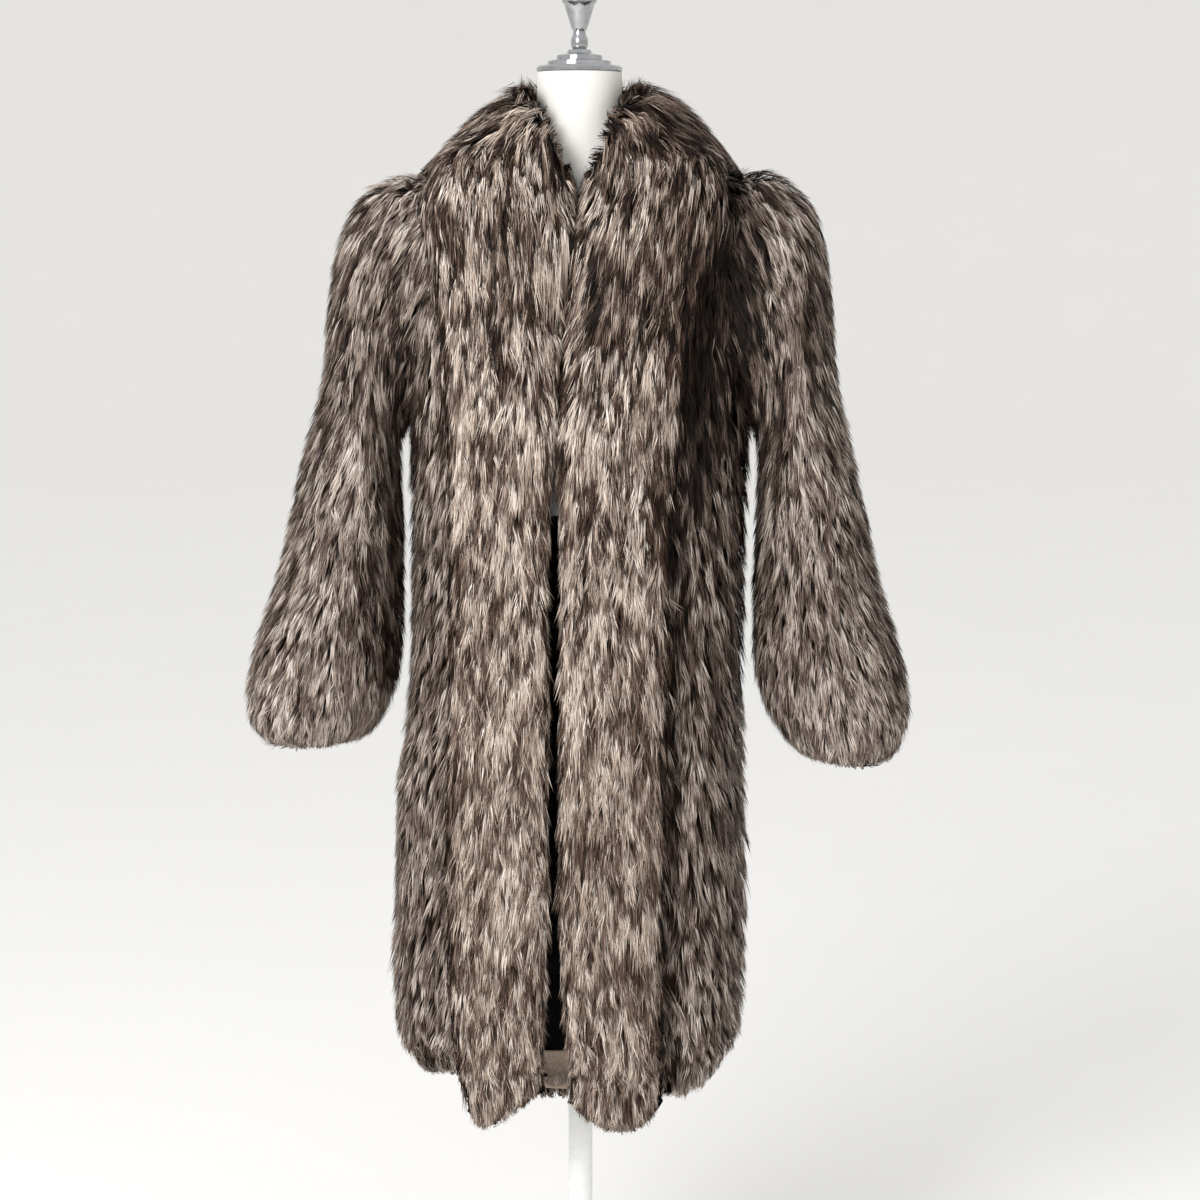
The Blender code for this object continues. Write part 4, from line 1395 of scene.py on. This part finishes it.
@dataclass
class Front(FurPiece):
    """One front panel, from its edge at the opening to the side seam."""

    hem_stand: float = 0.35
    edge_stand: float = 0.5

    def surfaces(self) -> list[FurSurface]:
        """The outer face with hem and edge turned over; fur grows only where the band leaves it free.

        Returns:
            One surface.
        """
        angle, level = front_grid(self.side)
        low, high = (hem_drop(face(angle, level), self.side) for face in (inner_face, outer_face))
        parts = low, high, np.full(angle.shape, self.skin_depth)
        parts = with_rim(*parts, Rim.EDGE, edge_rounding(EDGE_ROUND))
        parts = with_rim(*parts, Rim.HEM, HEM_ROUND)
        made = fine_surface(parts[1], parts[2], self.side.value)
        row, column = coarse_places(made)
        beside_band = column > BAND_COLUMNS + RIM_STEPS - 1.6
        free = beside_band | (column < 2.4) & (row < 16) | (row < 2.6)
        made.dense *= free & (row < COLLAR_ROW + RIM_STEPS + 0.7)
        made.stand += self.hem_stand * (row < RIM_STEPS) + self.edge_stand * (column < RIM_STEPS)
        return [made]

    def keep(self, points: Array) -> Array:
        """Outside its sleeve."""
        return ~in_sleeve(points, self.side, FUR_IN_SLEEVE)

    def hidden(self, points: Array) -> Array:
        """Well inside its sleeve's head."""
        return in_sleeve(points, self.side, SKIN_IN_SLEEVE)


@dataclass
class Sleeve(FurPiece):
    """One sleeve, a tube from inside the armhole to its rounded cuff.

    The sleeve's head swells up by head_rise near its row head_row. Hair lies partly along
    the tube, by along, and otherwise hangs down and a little outwards, by outwards.
    """

    steps: int = 20
    head_rise: float = 12 * MM
    head_row: float = 1.2
    head_spread: float = 0.6
    along: float = 0.45
    outwards: float = 0.16
    cuff_stand: float = 0.3

    @property
    def turn(self) -> Array:
        """Angles once round the tube, from its inner side."""
        return np.linspace(0, 2 * math.pi, self.steps + 1) + math.pi

    @property
    def rows(self) -> Array:
        """The table's rows, from the cuff up."""
        return np.arange(15, -1, -1.0)

    def rings(self, grow_by: float) -> Array:
        """Ovals of points from the cuff up, middle + half cos t + depth sin t.

        Args:
            grow_by: how far they are grown outwards, or inwards if negative.

        Returns:
            Points, rows by steps around.
        """
        middle, half, depth = sleeve_frame(self.side, self.rows)
        turn = self.turn[None, :, None]
        size = np.linalg.norm(half, axis=-1, keepdims=True)
        half = half * (1 + grow_by / size)
        across = np.zeros_like(half)
        across[:, 1] = (depth + grow_by) * self.side.value
        return middle[:, None] + half[:, None] * np.cos(turn) + across[:, None] * np.sin(turn)

    def surfaces(self) -> list[FurSurface]:
        """The outer face with its cuff turned over.

        Returns:
            One surface.
        """
        low, high = self.rings(-WALL), self.rings(0.0)
        near_head = np.exp(-(((self.rows[:, None] - self.head_row) / self.head_spread) ** 2))
        high[..., 2] += self.head_rise * near_head * np.clip(np.cos(self.turn), 0, 1) ** 2
        low, high, depth = with_rim(low, high, np.full(high.shape[:2], self.skin_depth), Rim.HEM, HEM_ROUND)
        made = fine_surface(high, depth, 1)
        row, _ = coarse_places(made)
        made.comb = self.along * made.comb + np.array((self.outwards * self.side.value, 0, -1))
        made.stand += self.cuff_stand * (row < RIM_STEPS)
        return [made]

    def keep(self, points: Array) -> Array:
        """Outside the body."""
        return ~in_body(points, FUR_IN_BODY)

    def hidden(self, points: Array) -> Array:
        """Well inside the body."""
        return in_body(points, SKIN_IN_BODY)


@dataclass
class Collar(FurPiece):
    """Half of the shawl collar and the tuxedo band that it runs into.

    band_share of its tufts grow on the band, the others on the collar behind the shoulder.
    Its skin lies skin_share of the fur's height deep.
    """

    slot: str = "collar_fur"
    band_share: float = 0.72
    skin_share: float = 0.75
    thinnest: float = 3 * MM
    towards_opening: float = 0.65
    towards_throat: float = 0.15
    towards_shoulder: float = 0.5
    downwards: float = 0.8

    @property
    def hair_finish(self) -> bpy.types.Material:
        """Longer and paler than on the body."""
        return self.finishes.collar_pile

    def piles(self) -> list[Pile]:
        """The band's fur and the collar's."""
        band, neck = (int(self.pile.tufts * share) for share in (self.band_share, 1 - self.band_share))
        return [replace(self.pile, tufts=band), replace(self.pile, tufts=neck, seed=self.pile.seed + 40)]

    def faces(self) -> tuple[Array, Array]:
        """The panels' points under it, and those points moved up to its top.

        Across the band the height swells from the edge's to the middle's and falls to the
        outer side's, h = edge (1 - s) + outer s, then towards middle by (4 s (1 - s))^0.6.
        Round the neck it goes from the throat over the shoulder to the nape with |sin a|^3.

        Returns:
            Both grids, columns from the opening to the centre back.
        """
        angle, level = front_grid(self.side)
        back_angle, back_level = back_grid(self.side)
        angle = np.concatenate([angle[:, :-1], back_angle], 1)
        level = np.concatenate([level[:, :-1], back_level], 1)
        rows, columns = angle.shape
        band = BAND_COLUMNS - 1
        base, normal = outer_face(angle, level), body_normal(angle, level)
        lift = normal.copy()
        lift[..., 0] = self.side.value * np.maximum(self.side.value * lift[..., 0], 0)
        share = np.concatenate([BAND_SHARES, np.ones(columns - band - 1)])[None, :]
        row_level = np.broadcast_to(LEVELS[:, None], angle.shape)
        edge, middle, outer = (BAND.read(name, row_level) for name in ("edge", "middle", "outer"))
        height = edge * (1 - share) + outer * share
        height = height + (middle - height) * np.clip(4 * share * (1 - share), 0, 1) ** 0.6
        names = ("throat", f"{self.side.word}_shoulder", "nape", "lean")
        throat, shoulder, nape, lean = (COLLAR.read(name, row_level) for name in names)
        across = np.abs(np.sin(angle)) ** 3
        upper = shoulder * across + np.where(np.cos(angle) > 0, throat, nape) * (1 - across)
        row, column = np.arange(rows)[:, None], np.arange(columns)[None, :]
        blend = np.where(column > band, row >= COLLAR_ROW, eased(row, COLLAR_ROW, 2))
        height = height * (1 - blend) + upper * blend
        lift[..., 2] += COLLAR_RISE * blend * np.clip(np.abs(np.sin(angle)) * 1.4, 0, 1)
        inward = unit((NECK_CENTRE - base) * (1, 1, 0))
        low = hem_drop(base + normal * SEAM, self.side)
        return low, low + unit(lift) * height[..., None] + inward * (lean * blend)[..., None]

    def surfaces(self) -> list[FurSurface]:
        """The band's own surface up to the neck, and the collar's from there round to the nape.

        Returns:
            Both surfaces.
        """
        low, high = self.faces()
        depth = np.clip(self.skin_share * np.linalg.norm(high - low, axis=-1), self.thinnest, self.skin_depth)
        return [self.band(low, high, depth), self.neck(low, high, depth)]

    def band(self, low: Array, high: Array, depth: Array) -> FurSurface:
        """The band from the hem to the throat, all its rims turned over.

        On the chest its hair is combed towards the opening near the edge and towards the
        shoulder near the outer side, and the more so the higher it grows.

        Args:
            low: the points under it.
            high: the points on its top.
            depth: the skin's depth.

        Returns:
            The surface, thinned out where the collar lies on it.
        """
        cut = BAND_COLUMNS
        parts = low[:, :cut], high[:, :cut], depth[:, :cut]
        parts = with_rim(*parts, Rim.EDGE, edge_rounding(COLLAR_ROUND))
        for rim in (Rim.OUTER, Rim.HEM, Rim.TOP):
            parts = with_rim(*parts, rim, COLLAR_ROUND)
        made = fine_surface(parts[1], parts[2], self.side.value)
        row, column = coarse_places(made)
        last = len(LEVELS)
        free = (row < COLLAR_ROW + RIM_STEPS) | (column < cut + 1)
        made.dense *= free * np.where((column < 1.6) & (row > 15), 0.0, 1.0)
        made.dense *= np.where(row > last + 2.4, 0.4, 1.0)
        throat = eased(row, 13.5, 2)
        towards = self.towards_opening - (self.towards_opening - self.towards_throat) * throat
        inward = np.clip(1 - np.abs(column - 2) / 1.5, 0, 1) * eased(row, 9, 4) * towards
        outward = eased(column, 4, 4) * eased(row, 14, 3) * self.towards_shoulder
        down = np.array((0, 0, -self.downwards)) * eased(row, 14, 3)[..., None]
        made.comb = made.comb + unit(made.across) * (outward - inward)[..., None] + down
        made.stand += 0.25 * eased(row, last + 0.5, 1.5) + 0.25 * (row < RIM_STEPS)
        made.bare += eased(row, last - 0.5, 1)
        # Painted shade: the outer rim is made darker, where the band turns down into the fold beside the
        # front panel.
        made.light -= 0.20 * (column > cut + 1.2)
        made.light += 0.22 * eased(-column, -3, 1.2) * throat
        return made

    def neck(self, low: Array, high: Array, depth: Array) -> FurSurface:
        """The collar over the shoulder to the centre back, its hair standing off along the top.

        Args:
            low: the points under it.
            high: the points on its top.
            depth: the skin's depth.

        Returns:
            The surface.
        """
        parts = tuple(x[COLLAR_ROW:, BAND_COLUMNS - 1 :] for x in (low, high, depth))
        parts = with_rim(*parts, Rim.HEM, COLLAR_FOOT)
        parts = with_rim(*parts, Rim.TOP, COLLAR_ROUND)
        made = fine_surface(parts[1], parts[2], self.side.value)
        row, _ = coarse_places(made)
        made.stand += 0.8 * eased(row, 4.5, 1.5)
        made.light += 0.10 * eased(row, 3.5, 1.5)
        made.bare += eased(row, 4.5, 1)
        made.comb = 0.6 * made.comb + np.array((0, 0, -0.6))
        return made


@dataclass
class Lining:
    """The back's satin lining and the facing that is turned up at its hem.

    Both lie on the hollow's face, clear of the pelt by clearance, with soft creases.
    """

    finishes: Finishes
    steps: int = 6
    clearance: float = 2.2 * MM
    crease: float = 1.2 * MM

    def creases(self, angle: Array, level: Array) -> Array:
        """Depth of soft vertical creases: three sine waves of uneven width that drift with the height."""
        wide, middling = np.sin(13 * angle + 2.1 * level), np.sin(29 * angle - 3 * level + 1)
        return self.crease * (wide + 0.6 * middling + 0.3 * np.sin(47 * angle))

    def layer(
        self, name: str, rows: tuple[int, int], thickness: float, finish: bpy.types.Material,
        slot: str, flat: tuple[float, float],
    ) -> None:
        """One thin sheet on the hollow's face between two rows of the back.

        Args:
            name: the CAD node it stands for.
            rows: its lowest and highest row.
            thickness: its own thickness.
            finish: its material.
            slot: not used.
            flat: not used.
        """
        angle, level = (np.array(x[rows[0] : rows[1] + 1]) for x in back_grid())
        angle, level = (refine(refine(x, self.steps, 0), self.steps, 1) for x in (angle, level))
        near = WALL + SEAM + self.creases(angle, level) + self.clearance
        insets = (near, near + thickness)
        mesh = shell(name, *(inner_face(angle, level, inset[..., None]) for inset in insets))
        for _ in range(2):
            mesh.materials.append(finish)
        sheet = new_object(f"{name}_cloth", mesh)
        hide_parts(name)
        LOG.info("%s: %d faces, %.3f m2", name, len(mesh.polygons), sheet_area(mesh))

    def build(self) -> None:
        """Both sheets."""
        facing, satin = self.finishes.facing, self.finishes.lining
        self.layer("back_hem_facing", (0, 2), 2.0 * MM, facing, "hem_facing", (0.42, 0.042))
        self.layer("back_lining", (3, 9), 1.2 * MM, satin, "dark_lining", (0.40, 0.70))


# Radius and height of each corner of the turned pieces, from the middle of the bottom to that of the top.
CAP = (
    (0.0, 1.4713), (0.0445, 1.4713), (0.0462, 1.4726), (0.0462, 1.4760), (0.0440, 1.4780),
    (0.0345, 1.4790), (0.0335, 1.4830), (0.0250, 1.4846), (0.0240, 1.4890), (0.0135, 1.4915),
    (0.0120, 1.4950), (0.0, 1.4950),
)
FINIAL = (
    (0.0, 1.4953), (0.0070, 1.4953), (0.0090, 1.4985), (0.0094, 1.5025), (0.0088, 1.5070),
    (0.0070, 1.5105), (0.0066, 1.5145), (0.0086, 1.5180), (0.0104, 1.5240), (0.0140, 1.5350),
    (0.0162, 1.5430), (0.0186, 1.5450), (0.0186, 1.5480), (0.0160, 1.5510), (0.0120, 1.5580),
    (0.0070, 1.5640), (0.0080, 1.5680), (0.0080, 1.5720), (0.0052, 1.5760), (0.0, 1.5775),
)
FOOT = (
    (0.0, 0.0), (0.186, 0.0), (0.190, 0.003), (0.190, 0.008), (0.185, 0.012), (0.034, 0.016),
    (0.024, 0.022), (0.022, 0.042), (0.0, 0.042),
)
POLE = ((0.0, 0.0423), (0.0135, 0.0423), (0.0135, 0.9997), (0.0, 0.9997))
FORM_FIRST = 9  # the lowest row of the coat's grid that the bust follows
FORM_INSETS = (0.021, 0.015, 0.010, 0.007, 0.004, 0.0027, 0.0011, 0.0007, 0.0018, 0.0040)
FORM_FOOT = ((0.78, 1.000), (0.90, 1.008), (0.97, 1.022))
NECK_BLEND = ((0.30, 0.06), (0.62, 0.28), (0.88, 0.62), (1.00, 1.00))
NECK_FOOT, NECK_TOP, NECK_RADIUS = 1.425, 1.471, 0.0455


@dataclass
class DressForm:
    """The limbless form under the coat: a jersey torso, a chrome cap and finial, a pole and a foot."""

    finishes: Finishes
    steps: int = 96
    fine_rows: int = 5
    fine_columns: int = 4
    blend: float = 0.01

    def turned(self, name: str, profile: tuple, finish: bpy.types.Material, angle: float = 35) -> None:
        """One turned piece with fine steps, its sharp rims kept.

        Args:
            name: the CAD node it stands for.
            profile: radius and height of each corner.
            finish: its material.
            angle: the degrees past which a rim stays sharp.
        """
        mesh = turned_mesh(name, np.array(profile), self.steps)
        mesh.set_sharp_from_angle(angle=math.radians(angle))
        mesh.materials.append(finish)
        piece = new_object(f"{name}_turned", mesh)
        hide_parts(name)
        LOG.info("%s: %d faces", name, len(mesh.polygons))

    def torso(self) -> bpy.types.Mesh:
        """The bust: rings inside the coat's hollow, blended in to a round neck, and a rounded foot.

        Above the neck's foot each ring is pulled out to a circle, over a height of blend.

        Returns:
            Its closed mesh.
        """
        left, level = front_grid(Side.LEFT)
        right, _ = front_grid(Side.RIGHT)
        back, back_level = back_grid()
        angle = np.concatenate([left, back[:, 1:-1], right[:, ::-1] + 2 * math.pi], 1)[FORM_FIRST:]
        level = np.concatenate([level, back_level[:, 1:-1], level], 1)[FORM_FIRST:]
        rings = inner_face(angle, level, WALL + np.array(FORM_INSETS)[:, None, None])
        middle, foot, neck = rings[0].mean(0), [], []
        for share, height in FORM_FOOT:
            ring = middle + (rings[0] - middle) * share
            ring[:, 2] = height
            foot.append(ring)
        turn, top = angle[-1], rings[-1]
        goal = NECK_CENTRE + NECK_RADIUS * np.stack([np.sin(turn), -np.cos(turn), 0 * turn], -1)
        goal[:, 2] = NECK_FOOT
        for inwards, upwards in NECK_BLEND:
            neck.append(top + (goal - top) * np.array([inwards, inwards, upwards]))
        neck.append(goal * (1, 1, 0) + (0, 0, NECK_TOP))
        rings = refine(np.concatenate([foot, rings, neck]), self.fine_rows, 0)
        rings = np.concatenate([rings[:, -2:], rings, rings[:, :3]], 1)
        rings = refine(rings, self.fine_columns, 1)[:, 2 * self.fine_columns : -3 * self.fine_columns]
        straight = eased(rings[..., 2:], NECK_FOOT, self.blend)
        flat = rings * (1, 1, 0) - NECK_CENTRE
        round_neck = NECK_CENTRE + unit(flat) * NECK_RADIUS + rings * (0, 0, 1)
        return ringed_mesh("form_bust", rings * (1 - straight) + round_neck * straight)

    def build(self) -> None:
        """The bust and the turned pieces, all with finer steps than the frame's."""
        mesh = self.torso()
        mesh.set_sharp_from_angle(angle=math.radians(40))
        mesh.materials.append(self.finishes.jersey)
        bust = new_object("form_bust", mesh)
        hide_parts("form_torso")
        LOG.info("form_torso: %d faces", len(mesh.polygons))
        self.turned("neck_cap", CAP, self.finishes.chrome)
        self.turned("finial", FINIAL, self.finishes.chrome)
        self.turned("form_pole", POLE, self.finishes.enamel)
        self.turned("foot", FOOT, self.finishes.enamel)


# ------------------------------------------------------------------ studio
@dataclass(frozen=True)
class Studio:
    """A round pale floor whose rim curves up all round, soft light from the front left, and the camera."""

    eye: tuple[float, float, float] = (0.022, -3.10, 1.33)
    aim: tuple[float, float, float] = (0.022, 0.0, 0.90)
    lens: float = 85.36
    floor_radius: float = 12.0
    floor_bend: float = 5.0
    wall_top: float = 8.0
    sky: float = 0.9
    key_place: tuple[float, float, float] = (-1.6, -2.6, 2.6)
    key_aim: tuple[float, float, float] = (0.0, 0.0, 0.95)
    key_size: float = 1.4
    key_power: float = 95

    def facing(self, place: tuple, aim: tuple, data: bpy.types.ID, name: str) -> bpy.types.Object:
        """A lamp or camera at one point that looks at another.

        Args:
            place: where it stands.
            aim: what it looks at.
            data: the lamp's or camera's own data.
            name: its name.

        Returns:
            The object, in the scene.
        """
        made = bpy.data.objects.new(name, data)
        made.location = place
        made.rotation_euler = (Vector(aim) - Vector(place)).to_track_quat("-Z", "Y").to_euler()
        bpy.context.scene.collection.objects.link(made)
        return made

    def floor(self) -> bpy.types.Object:
        """A flat disc that bends up through a quarter circle into a round wall.

        Returns:
            The floor, in the scene.
        """
        bend, turn = np.linspace(0, math.pi / 2, 16)[:, None], np.linspace(0, 2 * math.pi, 97)
        wide = self.floor_radius + self.floor_bend
        radius = np.concatenate([[[0.1 * MM]], self.floor_radius + self.floor_bend * np.sin(bend), [[wide]]])
        height = np.concatenate([[[0]], self.floor_bend * (1 - np.cos(bend)), [[self.wall_top]]]) - 1 * MM
        points = np.stack(np.broadcast_arrays(radius * np.cos(turn), radius * np.sin(turn), height), -1)
        faces = grid_faces(*points.shape[:2]).reshape(-1, 4)
        mesh = mesh_of("floor", points.reshape(-1, 3), faces.ravel(), np.full(len(faces), 4))
        # Matt paper, as good as plain, that only shows the light's fall.
        mesh.materials.append(Grained("pale floor", ("#f4f3f1", "#f5f4f2"), 0.9, (0.4, 0.4, 0.4)).make())
        floor = bpy.data.objects.new("floor", mesh)
        bpy.context.scene.collection.objects.link(floor)
        return floor

    def build(self) -> None:
        """Floor, world, light and camera."""
        self.floor()
        scene = bpy.context.scene
        scene.world = bpy.data.worlds.new("studio")
        scene.world.use_nodes = True
        back = scene.world.node_tree.nodes["Background"]
        back.inputs["Color"].default_value = (1.0, 1.0, 1.0, 1.0)
        back.inputs["Strength"].default_value = self.sky
        key = bpy.data.lights.new("key", "AREA")
        key.shape, key.size, key.energy = "SQUARE", self.key_size, self.key_power
        self.facing(self.key_place, self.key_aim, key, "key")
        lens = bpy.data.cameras.new("camera")
        lens.lens, lens.sensor_width = self.lens, 36
        scene.camera = self.facing(self.eye, self.aim, lens, "camera")
        scene.view_settings.view_transform = "Standard"
        scene.view_settings.look = "None"


def corners(box: tuple[Vector, Vector]) -> list[list[float]]:
    """A box's two corners as plain lists."""
    return [list(map(float, corner)) for corner in box]


def main() -> None:
    """Builds the coat from the back to the collar, then its stand and the studio."""
    logging.basicConfig(level=logging.INFO, format="%(message)s")
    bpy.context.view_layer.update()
    finishes = Finishes.make()
    body = Pile(
        tufts=5000, length=(32 * MM, 48 * MM), spread=2.2 * MM, width=(0.8 * MM, 1.7 * MM),
        shade=0.63, contrast=0.34, seed=3,
    )
    collar = replace(
        body, tufts=6000, length=(34 * MM, 54 * MM), spread=2.1 * MM, width=(0.8 * MM, 1.6 * MM),
        shade=0.61, contrast=0.44,
    )
    Back(finishes, body, "back", (0.50, 1.05)).build()
    for k, side in enumerate(Side):
        front, sleeve = replace(body, tufts=2100, seed=11 + k), replace(body, seed=21 + k)
        Front(finishes, front, f"front_{side.word}", (0.26, 0.95), side).build()
        Sleeve(finishes, sleeve, f"sleeve_{side.word}", (0.42, 0.62), side).build()
        Collar(finishes, replace(collar, seed=31 + k), f"collar_{side.word}", (0.20, 1.12), side).build()
    Lining(finishes).build()
    DressForm(finishes).build()
    Studio().build()


if __name__ == "__main__":
    main()
